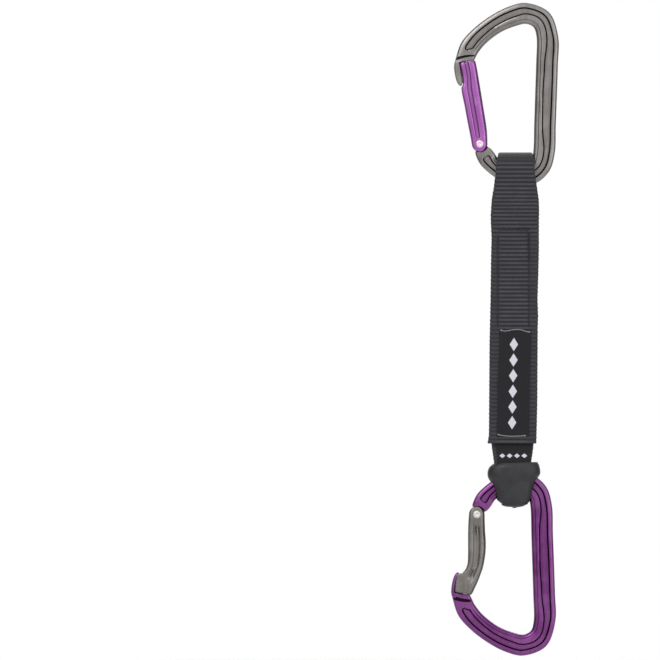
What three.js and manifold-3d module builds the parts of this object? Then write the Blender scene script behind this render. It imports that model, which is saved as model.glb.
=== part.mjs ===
// Climbing quickdraw: two forged carabiners joined by a sewn webbing sling.
// Millimetres, +Z up, hanging from its upper carabiner. The origin is the
// lowest point of the hanger's bolt plate, on the inside of the upper bow.
// X runs from the gate side to the spine side, Y from front to back.
import * as THREE from 'three';
import { mergeVertices } from 'three/addons/utils/BufferGeometryUtils.js';
import Module from 'manifold-3d';

const wasm = await Module();
wasm.setup();

// ---------------------------------------------------------------- dimensions

// Carabiner, measured from its gate rivet: bow towards +Z, spine towards +X.
const BAR_DEPTH = 8;
const BAR_ROUND = 2.2;
const POCKET_DEPTH = 1.9;
const SEAT_FROM_RIVET = { x: 24, z: 62.2 };
// Each station is the outer and the inner edge of the bar, and how far the
// flanges reach in from them: [outer x, outer z, inner x, inner z, outer
// flange, inner flange]. Tail first, then basket, spine, bow and nose.
const BAR_STATIONS = [
  [-2.7, -4.6, 5.25, -1.6, 3.2, 3.2],
  [0.0, -10.2, 7.4, -4.4, 2.4, 2.9],
  [3.5, -13.9, 9.6, -7.6, 2.4, 3.0],
  [11.0, -19.2, 14.6, -10.6, 2.4, 3.4],
  [20.0, -22.1, 20.6, -11.9, 2.5, 4.0],
  [29.3, -20.3, 24.6, -10.4, 2.6, 4.4],
  [36.1, -14.0, 27.0, -7.8, 2.6, 4.8],
  [38.9, -4.5, 27.8, -3.4, 2.6, 4.9],
  [39.3, 10.0, 28.2, 10.0, 2.5, 4.1],
  [39.8, 26.0, 28.7, 26.0, 2.5, 4.0],
  [40.3, 41.5, 29.2, 41.5, 2.5, 4.2],
  [40.6, 55.2, 29.4, 55.7, 2.5, 5.0],
  [35.9, 68.3, 27.8, 60.5, 2.5, 5.1],
  [24.0, 73.2, 24.0, 62.2, 2.5, 4.8],
  [15.3, 71.4, 19.0, 61.2, 2.5, 4.4],
  [6.0, 66.7, 11.1, 58.0, 2.5, 3.9],
  [-3.5, 59.5, 3.0, 51.9, 2.5, 3.6],
  [-9.8, 52.2, -1.1, 46.8, 3.0, 3.4],
  [-13.45, 43.2, -2.7, 43.66, 4.0, 4.0],
];
const BAR_STEPS = 3;
const POCKET_FROM_STATION = 1.35;
const POCKET_TO_STATION = 16.6;
const SHOULDER_RADIUS = 4.55;
const TAB_HALF_THICKNESS = 1.4;
const TAB_RADIUS = 3.5;
const TAB_CAM_CORNER = { u: 2.4, v: 3.3 };

// Gates. u runs across the gate towards the spine, v from rivet to nose.
const GATE_LEAN = THREE.MathUtils.degToRad(8.8);
const GATE_DEPTH = 8;
const GATE_ROUND = 2.1;
const GATE_HINGE_RADIUS = 4.1;
const GATE_LENGTH = 43;
const NOSE_FACE_RADIUS = 43.75;
const FORK_HALF_GAP = 1.75;
const FORK_DEPTH = 5;
const BORE_RADIUS = 1.75;
const BORE_TOP = 27;
const RIVET_RADIUS = 1.5;
const RIVET_HEAD_RADIUS = 1.9;
const RIVET_HEAD_HEIGHT = 0.5;
const RUNNING_GAP = 0.1;

// Keyed nose: a flat key with a wider head, and the keyhole it closes into.
const KEY = { back: -0.6, front: -4.8, foot: 32.6, shoulder: 36.5, top: 44.6, neck: 1.1, head: 2.1 };
const KEYHOLE = { back: 0.1, floor: 31.8, shoulder: 37.1, neck: 1.55, head: 2.55 };

// Plunger and coil spring in each gate's bore.
const PLUNGER = { foot: 3.6, shoulder: 8.8, stemTop: 12.5, radius: 1.5, stemRadius: 0.75 };
const SPRING = { foot: 9.3, top: 26.6, coilRadius: 1.2, wireRadius: 0.24, turns: 6 };

// Where the two rivets are, and the axes that the carabiners swing about.
const TOP_RIVET = { x: -SEAT_FROM_RIVET.x, z: -SEAT_FROM_RIVET.z };
const BOTTOM_RIVET = { x: -25.5, z: -254.1 };
const EYE_AXIS_Z = TOP_RIVET.z - 14.55;
const KEEPER_AXIS_Z = BOTTOM_RIVET.z + 15.5;
const BOTTOM_SWING = THREE.MathUtils.degToRad(15);

// Sling: 25 mm webbing over the upper bar, a narrower strap round the lower.
const WEB_THICKNESS = 1.9;
const STRAP_THICKNESS = 1.5;
const LAYER_GAP = 0.2;
const WEB_LEFT = -18.7;
const WEB_RIGHT = 6.3;
const WEB_END_Z = -217.4;
const EYE_INNER_RADIUS = 8.3;
const EYE_CLOSES_Z = -103.5;
const STRAP_LEFT = -17.8;
const STRAP_RIGHT = 3.8;
const STRAP_TOP_Z = -112;
const STRAP_PARTS_Z = -216.8;
const STRAP_LOOP_HALF_GAP = 5.3;
const STRAP_LOOP_FOOT_Z = -240.9;
const STRAP_Y = LAYER_GAP * 0.75 + STRAP_THICKNESS / 2;
const WEB_Y = STRAP_Y + STRAP_THICKNESS / 2 + LAYER_GAP + WEB_THICKNESS / 2;
const WEB_FACE_Y = WEB_Y + WEB_THICKNESS / 2;
const LOOP_Y = STRAP_LOOP_HALF_GAP + STRAP_THICKNESS / 2;

// Labels, thread and rubber keeper.
const LABEL = { left: -15.2, right: 1.8, top: -158.8, bottom: -213.6, thickness: 0.6, gap: 0.15 };
const SHORT_LABEL = { left: -17.6, right: 3.6, top: -217.9, bottom: -229.2, thickness: 0.4, gap: 0.15 };
const THREAD = { width: 0.7, height: 0.45, gap: 0.1, post: 0.3, postClearance: 0.16 };
const SEAM = { left: -14.7, right: 1.3, top: -106, bottom: -215.2, sideTop: -108, sideBottom: -157 };
const KEEPER_HALF_DEPTH = 9.2;
const KEEPER_ROUND = 1.8;
const KEEPER_CAVITY_HALF_DEPTH = 7.3;
const MOVING_GAP = 0.35;
const MARGIN = 5;

// ------------------------------------------------------------------ helpers

/** Point in the plane of a leaning gate (u across, v along) as [x, z]. */
function fromGate(u, v) {
  return [
    u * Math.cos(GATE_LEAN) - v * Math.sin(GATE_LEAN),
    u * Math.sin(GATE_LEAN) + v * Math.cos(GATE_LEAN),
  ];
}

function polygon(points) {
  return new THREE.Shape(points.map(([x, y]) => new THREE.Vector2(x, y)));
}

function smooth(points, divisions) {
  const curve = new THREE.CatmullRomCurve3(
    points.map(([x, y]) => new THREE.Vector3(x, y, 0)), false, 'centripetal');
  return curve.getPoints(divisions * (points.length - 1)).map((p) => [p.x, p.y]);
}

/** A front-view outline (x, z), given thickness in Y about y = 0. */
function plate(shape, depth, round = 0, spread = 0) {
  const geometry = new THREE.ExtrudeGeometry(shape, {
    depth: depth - 2 * round,
    curveSegments: 8,
    bevelEnabled: round > 0,
    bevelThickness: round,
    bevelSize: round,
    bevelOffset: spread - round,
    bevelSegments: 2,
  });
  geometry.translate(0, 0, -(depth - 2 * round) / 2);
  geometry.rotateX(Math.PI / 2);
  return geometry;
}

/** A side-view outline (y, z), stretched along X from left to right. */
function beam(shape, left, right) {
  const geometry = new THREE.ExtrudeGeometry(shape, {
    depth: right - left,
    curveSegments: 8,
    bevelEnabled: false,
  });
  geometry.applyMatrix4(new THREE.Matrix4().makeBasis(
    new THREE.Vector3(0, 1, 0), new THREE.Vector3(0, 0, 1), new THREE.Vector3(1, 0, 0)));
  geometry.translate(left, 0, 0);
  return geometry;
}

function block(x0, x1, y0, y1, z0, z1) {
  const geometry = new THREE.BoxGeometry(x1 - x0, y1 - y0, z1 - z0);
  geometry.translate((x0 + x1) / 2, (y0 + y1) / 2, (z0 + z1) / 2);
  return geometry;
}

/** A round bar along Y, centred on the X axis' zero. */
function crossPin(radius, length, sides = 16) {
  return new THREE.CylinderGeometry(radius, radius, length, sides);
}

function solid(geometry) {
  const bare = geometry.clone();
  bare.deleteAttribute('normal');
  bare.deleteAttribute('uv');
  const merged = mergeVertices(bare, 1e-4);
  return new wasm.Manifold(new wasm.Mesh({
    numProp: 3,
    vertProperties: new Float32Array(merged.attributes.position.array),
    triVerts: new Uint32Array(merged.index.array),
  }));
}

function geometryOf(manifold) {
  const mesh = manifold.getMesh();
  const geometry = new THREE.BufferGeometry();
  geometry.setAttribute('position', new THREE.BufferAttribute(new Float32Array(mesh.vertProperties), 3));
  geometry.setIndex(new THREE.BufferAttribute(new Uint32Array(mesh.triVerts), 1));
  geometry.computeVertexNormals();
  return geometry;
}

function subtractAll(body, cutters) {
  return cutters.reduce((left, cutter) => left.subtract(cutter), body);
}

function turnedAboutY(geometry, angle) {
  geometry.rotateY(angle);
  return geometry;
}

/** The closed outline between two offsets of a path, for a bent strap. */
function ribbon(path, low, high) {
  const offset = (distance) => path.map(([y, z], i) => {
    const before = path[Math.max(i - 1, 0)];
    const after = path[Math.min(i + 1, path.length - 1)];
    const along = new THREE.Vector2(after[0] - before[0], after[1] - before[1]).normalize();
    return [y - along.y * distance, z + along.x * distance];
  });
  return polygon([...offset(low), ...offset(high).reverse()]);
}

function bezier(a, b, c, d, divisions) {
  const points = [a, b, c, d].map(([y, z]) => new THREE.Vector2(y, z));
  return new THREE.CubicBezierCurve(...points).getPoints(divisions).map((p) => [p.x, p.y]);
}

function mirrored(path) {
  return path.map(([y, z]) => [-y, z]).reverse();
}

// ---------------------------------------------------------------- materials

function finish(color, roughness, metalness) {
  return new THREE.MeshStandardMaterial({ color, roughness, metalness });
}

const greyAnodised = () => finish(0x807d7a, 0.34, 0.9);
const purpleAnodised = () => finish(0x6b3470, 0.3, 0.85);
const violetAnodised = () => finish(0x9a5ea6, 0.3, 0.85);
const gunmetalAnodised = () => finish(0x62605c, 0.36, 0.9);
const polishedSteel = () => finish(0xbcb8b4, 0.25, 1);
const springSteel = () => finish(0x9c9c9e, 0.3, 1);
const acetal = () => finish(0xd8d6cf, 0.5, 0);
const greyNylon = () => finish(0x363438, 0.9, 0);
const blackTape = () => finish(0x1f1e22, 0.92, 0);
const blackThread = () => finish(0x151517, 0.85, 0);
const greyThread = () => finish(0xb9b7b4, 0.8, 0);
const mouldedRubber = () => finish(0x343236, 0.7, 0);

// --------------------------------------------------------------- carabiners

/** Both edges of the bar, and both walls of its pockets, as sampled curves. */
function barCurves() {
  const inset = (from, to, distance) => {
    const length = Math.hypot(to[0] - from[0], to[1] - from[1]);
    return from.map((value, i) => value + ((to[i] - value) * distance) / length);
  };
  const outer = BAR_STATIONS.map((s) => [s[0], s[1]]);
  const inner = BAR_STATIONS.map((s) => [s[2], s[3]]);
  return {
    outer: smooth(outer, BAR_STEPS),
    inner: smooth(inner, BAR_STEPS),
    outerWall: smooth(BAR_STATIONS.map((s, i) => inset(outer[i], inner[i], s[4])), BAR_STEPS),
    innerWall: smooth(BAR_STATIONS.map((s, i) => inset(inner[i], outer[i], s[5])), BAR_STEPS),
  };
}

/** Leaves an edge's end corners clear, so that their rounding can't fold. */
function clearOfEnds(points, reach) {
  const ends = [points[0], points[points.length - 1]];
  return points.filter((p) => ends.every(
    (end) => p === end || Math.hypot(p[0] - end[0], p[1] - end[1]) > reach));
}

function barOutline() {
  const { outer, inner } = barCurves();
  const faceMiddle = [-7.5, Math.sqrt(NOSE_FACE_RADIUS ** 2 - 7.5 ** 2)];
  const reach = 1.3 * BAR_ROUND;
  return polygon([...clearOfEnds(outer, reach), faceMiddle, ...clearOfEnds(inner, reach).reverse()].reverse());
}

function pocketOutline() {
  const { outerWall, innerWall } = barCurves();
  const first = Math.round(POCKET_FROM_STATION * BAR_STEPS);
  const last = Math.round(POCKET_TO_STATION * BAR_STEPS);
  return polygon([...outerWall.slice(first, last + 1), ...innerWall.slice(first, last + 1).reverse()]);
}

/** The finger that stays outside the closed gate, in the gate's own plane. */
function noseFinger() {
  const outline = [
    [-3.6, 46.5], [-6.2, 46.2], [-7.05, 43.2], [-7.45, 40.5], [-7.4, 37.9], [-7.0, 35.2],
    [-6.3, 32.7], [-5.1, 31.8], [-4.0, 33.2], [-4.0, 43.4],
  ];
  return solid(turnedAboutY(plate(polygon(outline.reverse()), 7.4, 0.7), -GATE_LEAN));
}

function noseKey() {
  const neck = block(KEY.front, KEY.back, -KEY.neck, KEY.neck, KEY.foot, KEY.top);
  const head = block(KEY.front, KEY.back, -KEY.head, KEY.head, KEY.foot, KEY.shoulder);
  return solid(turnedAboutY(neck, -GATE_LEAN)).add(solid(turnedAboutY(head, -GATE_LEAN)));
}

/** The thin tongue that the forked gate straddles, with its spring cam. */
function hingeTab(leanOfBore) {
  const camU = TAB_CAM_CORNER.u;
  const camV = TAB_CAM_CORNER.v;
  const cos = Math.cos(leanOfBore);
  const sin = Math.sin(leanOfBore);
  const cam = [[camU, camV], [-1.2, camV]].map(([u, v]) => [u * cos - v * sin, u * sin + v * cos]);
  const tongue = new THREE.Shape();
  tongue.moveTo(...cam[0]);
  tongue.lineTo(...cam[1]);
  tongue.absarc(0, 0, TAB_RADIUS, Math.atan2(cam[1][1], cam[1][0]), Math.PI * 1.15, false);
  tongue.lineTo(0.5, -7.5);
  tongue.lineTo(6.0, -5.0);
  tongue.lineTo(3.9, -1.2);
  return solid(plate(tongue, 2 * TAB_HALF_THICKNESS));
}

function frameSolid(leanOfBore) {
  const pocket = pocketOutline();
  const cutDepth = POCKET_DEPTH + MARGIN;
  const pockets = [-1, 1].map((side) => {
    const cutter = plate(pocket, cutDepth);
    cutter.translate(0, side * (BAR_DEPTH / 2 - POCKET_DEPTH + cutDepth / 2), 0);
    return solid(cutter);
  });
  const shoulder = solid(crossPin(SHOULDER_RADIUS, BAR_DEPTH + MARGIN, 32));
  const rivetHole = solid(crossPin(RIVET_RADIUS + RUNNING_GAP, BAR_DEPTH));
  const bar = subtractAll(solid(plate(barOutline(), BAR_DEPTH, BAR_ROUND)), [...pockets, shoulder]);
  return bar.add(noseFinger()).add(noseKey()).add(hingeTab(leanOfBore)).subtract(rivetHole);
}

/** The slot, in the tip of a closed gate, that the keyed nose drops into. */
function keyhole() {
  const open = KEY.front - MARGIN;
  const top = GATE_LENGTH + MARGIN;
  const neck = block(open, KEYHOLE.back, -KEYHOLE.neck, KEYHOLE.neck, KEYHOLE.floor, top);
  const head = block(open, KEYHOLE.back, -KEYHOLE.head, KEYHOLE.head, KEYHOLE.floor, KEYHOLE.shoulder);
  return solid(turnedAboutY(neck, -GATE_LEAN)).add(solid(turnedAboutY(head, -GATE_LEAN)));
}

/** Fork, rivet hole and spring bore, cut along an axis that leans. */
function hingeCuts(lean) {
  const fork = block(-9, 9, -FORK_HALF_GAP, FORK_HALF_GAP, -9, FORK_DEPTH);
  const bore = new THREE.CylinderGeometry(BORE_RADIUS, BORE_RADIUS, BORE_TOP - 3, 16);
  bore.rotateX(Math.PI / 2);
  bore.translate(0, 0, (BORE_TOP + 3) / 2);
  return [
    solid(turnedAboutY(fork, -lean)),
    solid(turnedAboutY(bore, -lean)),
    solid(crossPin(RIVET_RADIUS + RUNNING_GAP, GATE_DEPTH + MARGIN)),
  ];
}

/** The tip that both gates share, down to where each leaves the keyhole. */
function gateTip(lipEnd) {
  return [[4.5, 38.2], [4.2, 42.2], [-3.6, 43.05], ...lipEnd].map(([u, v]) => fromGate(u, v));
}

function straightGateOutline() {
  const gate = (points) => points.map(([u, v]) => fromGate(u, v));
  const hinge = new THREE.EllipseCurve(0, 0, GATE_HINGE_RADIUS, GATE_HINGE_RADIUS, Math.PI, 2 * Math.PI)
    .getPoints(10).map((p) => fromGate(p.x, p.y));
  const spineSide = gate(smooth([[4.15, 1.2], [4.85, 5.2], [4.8, 15], [4.6, 30]], 2));
  const outerSide = gate([[-4.75, 20], [-4.45, 10], [-4.15, 5]]);
  return polygon([...hinge, ...spineSide, ...gateTip([[-3.6, 32.1], [-4.95, 30.1]]), ...outerSide]);
}

function bentGateOutline() {
  const hinge = new THREE.EllipseCurve(0, 0, GATE_HINGE_RADIUS, GATE_HINGE_RADIUS, Math.PI, 2 * Math.PI)
    .getPoints(10).map((p) => [p.x, p.y]);
  const spineSide = smooth(
    [[4.0, 1.5], [4.2, 8.1], [4.65, 14.8], [4.3, 21], [3.4, 26.2], [1.6, 31.6], [-0.6, 36.2]], 2);
  const outerSide = smooth([[-7.6, 30.2], [-6.3, 28.4], [-5.1, 25.8], [-4.6, 22], [-4.55, 8]], 2);
  return polygon([...hinge, ...spineSide, ...gateTip([[-3.6, 33]]), ...outerSide]);
}

function gateSolid(outline, lean) {
  return subtractAll(solid(plate(outline, GATE_DEPTH, GATE_ROUND)), [...hingeCuts(lean), keyhole()]);
}

function rivetGeometry() {
  const face = GATE_DEPTH / 2 + RUNNING_GAP;
  const crown = face + RIVET_HEAD_HEIGHT;
  const profile = [
    [0, -crown], [RIVET_HEAD_RADIUS - 0.4, -crown], [RIVET_HEAD_RADIUS, -face - 0.15],
    [RIVET_HEAD_RADIUS, -face], [RIVET_RADIUS, -face], [RIVET_RADIUS, face],
    [RIVET_HEAD_RADIUS, face], [RIVET_HEAD_RADIUS, face + 0.15], [RIVET_HEAD_RADIUS - 0.4, crown],
    [0, crown],
  ];
  return new THREE.LatheGeometry(profile.map(([r, y]) => new THREE.Vector2(r, y)), 16);
}

/** A part turned about the gate's bore, from (radius, height) pairs. */
function turnedAlongBore(profile, sides) {
  const geometry = new THREE.LatheGeometry(profile.map(([r, v]) => new THREE.Vector2(r, v)), sides);
  geometry.rotateX(Math.PI / 2);
  return geometry;
}

function plungerGeometry() {
  const { foot, shoulder, stemTop, radius, stemRadius } = PLUNGER;
  return turnedAlongBore([
    [0, foot], [radius - 0.4, foot], [radius, foot + 0.4], [radius, shoulder],
    [stemRadius, shoulder], [stemRadius, stemTop], [0, stemTop],
  ], 12);
}

class Helix extends THREE.Curve {
  getPoint(t, target = new THREE.Vector3()) {
    const angle = 2 * Math.PI * SPRING.turns * t;
    const rise = SPRING.top - SPRING.foot - 2 * SPRING.wireRadius;
    return target.set(
      SPRING.coilRadius * Math.cos(angle),
      SPRING.coilRadius * Math.sin(angle),
      SPRING.foot + SPRING.wireRadius + rise * t,
    );
  }
}

function springGeometry() {
  const wire = polygon([0, 1, 2, 3, 4].map((i) => {
    const angle = (2 * Math.PI * i) / 5;
    return [SPRING.wireRadius * Math.cos(angle), SPRING.wireRadius * Math.sin(angle)];
  }));
  return new THREE.ExtrudeGeometry(wire, {
    steps: SPRING.turns * 8,
    bevelEnabled: false,
    extrudePath: new Helix(),
  });
}

// -------------------------------------------------------------------- sling

/** Side view of the wide webbing, from its front end over the eye and down. */
function webbingPath() {
  const radius = EYE_INNER_RADIUS + WEB_THICKNESS / 2;
  const front = [
    [-WEB_Y, WEB_END_Z],
    ...bezier([-WEB_Y, EYE_CLOSES_Z], [-WEB_Y, -92], [-radius, -91], [-radius, EYE_AXIS_Z], 7),
  ];
  const over = new THREE.EllipseCurve(0, EYE_AXIS_Z, radius, radius, Math.PI, 0, true)
    .getPoints(14).slice(1, -1).map((p) => [p.x, p.y]);
  return [...front, ...over, ...mirrored(front)];
}

/** Front view of the wide webbing: narrow in the eye, square at its ends. */
function webbingOutline() {
  const leftSide = smooth([[WEB_LEFT, -98], [-17.6, -89.5], [-15.2, -82], [-15.1, -70]], 3);
  const rightSide = smooth([[3.3, -69], [3.4, -82], [5.4, -91], [WEB_RIGHT, -98]], 3);
  return polygon([
    [WEB_LEFT, WEB_END_Z - MARGIN], ...leftSide,
    [-14.3, -68.0], [-12.4, -66.8], [-9, -66.2], [0, -66.2], [2.2, -67.0],
    ...rightSide, [WEB_RIGHT, WEB_END_Z - MARGIN],
  ]);
}

/** Side view of the narrow strap, with its two tails between the webbing. */
function strapPath() {
  const front = [
    [-STRAP_Y, STRAP_TOP_Z],
    ...bezier([-STRAP_Y, STRAP_PARTS_Z], [-STRAP_Y, -222.6], [-LOOP_Y, -223.4], [-LOOP_Y, -231.4], 6),
  ];
  const under = new THREE.EllipseCurve(0, STRAP_LOOP_FOOT_Z, LOOP_Y, LOOP_Y, Math.PI, 2 * Math.PI)
    .getPoints(12).map((p) => [p.x, p.y]);
  return [...front, ...under, ...mirrored(front)];
}

/** Front view of the narrow strap, grown by a clearance for the keeper. */
function strapOutline(clearance = 0) {
  const c = clearance;
  return polygon([
    [STRAP_LEFT - c, MARGIN], [STRAP_LEFT - c, -229], [-16.4 - c, -234], [-13.3 - c, -240],
    [-13.3 - c, -247 - c], [-11.8, -249 - c], [-1.4, -249 - c], [0.1 + c, -247 - c],
    [0.1 + c, -240], [2.8 + c, -234], [STRAP_RIGHT + c, -229], [STRAP_RIGHT + c, MARGIN],
  ].reverse());
}

const SEAM_ROWS = {
  seam_row_top: { from: [SEAM.left, SEAM.top], to: [SEAM.right, SEAM.top], posts: 3 },
  seam_row_left: { from: [SEAM.left, SEAM.sideBottom], to: [SEAM.left, SEAM.sideTop - 1], posts: 3 },
  seam_row_right: { from: [SEAM.right, SEAM.sideBottom], to: [SEAM.right, SEAM.sideTop - 1], posts: 3 },
  seam_row_bottom: { from: [SEAM.left, SEAM.bottom], to: [SEAM.right, SEAM.bottom], posts: 2 },
};
const LABEL_ROWS = {
  label_stitch_top: { from: [-13.6, LABEL.top - 1.6], to: [0.2, LABEL.top - 1.6], posts: 2 },
  label_stitch_bottom: { from: [-13.6, LABEL.bottom + 1.6], to: [0.2, LABEL.bottom + 1.6], posts: 2 },
};

function rowPosts({ from, to, posts }) {
  const inset = 1.2;
  const length = Math.hypot(to[0] - from[0], to[1] - from[1]);
  return Array.from({ length: posts }, (_, i) => {
    const t = (inset + ((length - 2 * inset) * i) / (posts - 1)) / length;
    return [from[0] + (to[0] - from[0]) * t, from[1] + (to[1] - from[1]) * t];
  });
}

function postBlock([x, z], half, front, back) {
  return solid(block(x - half, x + half, front, back, z - half, z + half));
}

/** A sewn row: a thread on the front, one on the back, joined through. */
function threadRow(row, frontFace) {
  const front = -frontFace - THREAD.gap;
  const back = WEB_FACE_Y + THREAD.gap;
  const half = THREAD.width / 2;
  const [x0, z0] = row.from;
  const [x1, z1] = row.to;
  const run = (y0, y1) => solid(block(x0 - half, x1 + half, y0, y1, z0 - half, z1 + half));
  const threads = run(front - THREAD.height, front).add(run(back, back + THREAD.height));
  return rowPosts(row).reduce(
    (body, at) => body.add(postBlock(at, THREAD.post, front - THREAD.height / 2, back + THREAD.height / 2)),
    threads,
  );
}

/** The needle holes that every sewn layer has round the threads. */
function needleHoles() {
  const half = THREAD.post + THREAD.postClearance;
  const reach = WEB_FACE_Y + MARGIN;
  return [...Object.values(SEAM_ROWS), ...Object.values(LABEL_ROWS)]
    .flatMap(rowPosts).map((at) => postBlock(at, half, -reach, reach));
}

function webbingSolid() {
  const half = WEB_THICKNESS / 2;
  const folded = solid(beam(ribbon(webbingPath(), -half, half), WEB_LEFT - 1, WEB_RIGHT + 1));
  return subtractAll(folded.intersect(solid(plate(webbingOutline(), 40))), needleHoles());
}

function strapSolid() {
  const half = STRAP_THICKNESS / 2;
  const folded = solid(beam(ribbon(strapPath(), -half, half), STRAP_LEFT - 1, STRAP_RIGHT + 1));
  return subtractAll(folded.intersect(solid(plate(strapOutline(), 40))), needleHoles());
}

function longLabelSolid() {
  const back = -WEB_FACE_Y - LABEL.gap;
  const front = back - LABEL.thickness;
  return subtractAll(
    solid(block(LABEL.left, LABEL.right, front, back, LABEL.bottom, LABEL.top)), needleHoles());
}

function shortLabelSolid() {
  const path = strapPath().filter(([y, z]) => y < 0 && z <= STRAP_PARTS_Z && z > -232);
  const near = STRAP_THICKNESS / 2 + SHORT_LABEL.gap;
  const ribbonOutline = ribbon(path, -near - SHORT_LABEL.thickness, -near);
  const bent = solid(beam(ribbonOutline, SHORT_LABEL.left, SHORT_LABEL.right));
  const span = block(-MARGIN * 8, MARGIN * 8, -20, 20, SHORT_LABEL.bottom, SHORT_LABEL.top);
  return bent.intersect(solid(span));
}

function keeperOutline() {
  return polygon([
    [-17.2, -228.0], [-19.9, -230.6], [-19.9, -234.8], [-17.6, -238.2], [-16.3, -243],
    [-14.4, -247.4], [-10.9, -249.9], [-6.0, -250.5], [-1.2, -250.0], [1.8, -247.6], [3.4, -242.6],
    [4.5, -237.4], [7.3, -232.6], [6.4, -228.0],
  ]);
}

/** The room that the lower carabiner's bar needs as it rocks in the keeper. */
function rockingRoom() {
  const steps = [-1, 0, 1];
  return steps.map((step) => {
    const bar = plate(barOutline(), BAR_DEPTH + 2 * MOVING_GAP, BAR_ROUND, MOVING_GAP);
    bar.rotateX(Math.PI);
    bar.translate(BOTTOM_RIVET.x, 0, BOTTOM_RIVET.z - KEEPER_AXIS_Z);
    bar.rotateX(step * BOTTOM_SWING);
    bar.translate(0, 0, KEEPER_AXIS_Z);
    return solid(bar);
  });
}

function keeperSolid() {
  const halfCavity = KEEPER_CAVITY_HALF_DEPTH;
  const cavity = new THREE.Shape();
  cavity.moveTo(-halfCavity, -220);
  cavity.lineTo(-halfCavity, STRAP_LOOP_FOOT_Z);
  cavity.absarc(0, STRAP_LOOP_FOOT_Z, halfCavity, Math.PI, 2 * Math.PI, false);
  cavity.lineTo(halfCavity, -220);
  const room = solid(beam(cavity, -30, 20)).intersect(solid(plate(strapOutline(0.4), 40)));
  const shell = solid(plate(keeperOutline(), 2 * KEEPER_HALF_DEPTH, KEEPER_ROUND));
  return subtractAll(shell, [room, ...rockingRoom()]);
}

// ----------------------------------------------------------------- assembly

function part(name, geometry, material) {
  const mesh = new THREE.Mesh(geometry, material);
  mesh.name = name;
  return mesh;
}

/** One carabiner about its rivet, with everything inside its gate. */
function carabiner(prefix, frameFinish, gateFinish, gateOutline, lean) {
  const group = new THREE.Group();
  const inGate = new THREE.Group();
  inGate.rotation.y = -lean;
  inGate.add(
    part(`${prefix}_gate_plunger`, plungerGeometry(), acetal()),
    part(`${prefix}_gate_spring`, springGeometry(), springSteel()),
  );
  group.add(
    part(`${prefix}_frame`, geometryOf(frameSolid(lean)), frameFinish()),
    part(`${prefix}_gate`, geometryOf(gateSolid(gateOutline, lean)), gateFinish()),
    part(`${prefix}_gate_rivet`, rivetGeometry(), polishedSteel()),
    inGate,
  );
  return group;
}

function upperCarabiner() {
  const group = carabiner('top', greyAnodised, violetAnodised, straightGateOutline(), GATE_LEAN);
  group.position.set(TOP_RIVET.x, 0, TOP_RIVET.z);
  return group;
}

function lowerCarabiner() {
  const group = carabiner('bottom', purpleAnodised, gunmetalAnodised, bentGateOutline(), 0);
  group.position.set(BOTTOM_RIVET.x, 0, BOTTOM_RIVET.z);
  group.rotation.x = Math.PI;
  return group;
}

function sling() {
  const group = new THREE.Group();
  const labelFace = WEB_FACE_Y + LABEL.gap + LABEL.thickness;
  group.add(
    part('sling_webbing', geometryOf(webbingSolid()), greyNylon()),
    part('lower_strap', geometryOf(strapSolid()), greyNylon()),
    part('long_label', geometryOf(longLabelSolid()), blackTape()),
    part('short_label', geometryOf(shortLabelSolid()), blackTape()),
    part('rubber_keeper', geometryOf(keeperSolid()), mouldedRubber()),
  );
  for (const [name, row] of Object.entries(SEAM_ROWS)) {
    group.add(part(name, geometryOf(threadRow(row, WEB_FACE_Y)), blackThread()));
  }
  for (const [name, row] of Object.entries(LABEL_ROWS)) {
    group.add(part(name, geometryOf(threadRow(row, labelFace)), greyThread()));
  }
  return group;
}

const quickdraw = new THREE.Group();
quickdraw.add(upperCarabiner(), lowerCarabiner(), sling());
export default quickdraw;
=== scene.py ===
"""Looks of the climbing quickdraw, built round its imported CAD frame.

Two forged carabiners hang from and under one sewn webbing sling. Every length
in the classes below is in millimetres and turned into metres as a mesh is made.
"""

import logging
import math
from dataclasses import dataclass, field
from enum import Enum
from typing import Callable, Iterable, Sequence, Union

import bmesh
import bpy
from mathutils import Matrix, Vector

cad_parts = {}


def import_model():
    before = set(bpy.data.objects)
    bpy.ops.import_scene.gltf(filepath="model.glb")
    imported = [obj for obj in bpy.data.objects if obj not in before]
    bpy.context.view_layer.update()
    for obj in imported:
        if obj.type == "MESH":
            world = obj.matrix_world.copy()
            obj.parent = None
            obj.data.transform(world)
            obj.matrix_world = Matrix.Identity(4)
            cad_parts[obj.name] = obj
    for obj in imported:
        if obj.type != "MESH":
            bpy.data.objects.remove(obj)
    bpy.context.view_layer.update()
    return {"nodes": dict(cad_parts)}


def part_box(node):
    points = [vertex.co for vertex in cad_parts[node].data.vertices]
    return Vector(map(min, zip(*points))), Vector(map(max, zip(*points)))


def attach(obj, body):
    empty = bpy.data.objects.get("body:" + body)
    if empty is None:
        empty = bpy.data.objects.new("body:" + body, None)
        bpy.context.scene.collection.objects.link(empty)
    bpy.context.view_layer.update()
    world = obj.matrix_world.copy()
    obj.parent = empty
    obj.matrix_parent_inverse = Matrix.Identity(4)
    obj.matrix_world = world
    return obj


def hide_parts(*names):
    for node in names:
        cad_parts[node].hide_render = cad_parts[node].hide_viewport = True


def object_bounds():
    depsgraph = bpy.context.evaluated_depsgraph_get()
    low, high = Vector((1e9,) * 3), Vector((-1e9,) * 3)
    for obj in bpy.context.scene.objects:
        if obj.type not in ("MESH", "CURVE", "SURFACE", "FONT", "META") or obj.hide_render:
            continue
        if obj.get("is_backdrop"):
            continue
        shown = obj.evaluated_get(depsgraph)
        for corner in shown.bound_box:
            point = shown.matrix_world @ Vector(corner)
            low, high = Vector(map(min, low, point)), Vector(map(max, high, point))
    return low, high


LOG = logging.getLogger("quickdraw")
MM = 0.001
SHARP_TURN = 40.0
Point = tuple[float, float]
Outline = tuple[Point, ...]
Placer = Callable[[float, float, float], Vector]
Socket = bpy.types.NodeSocket
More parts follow.
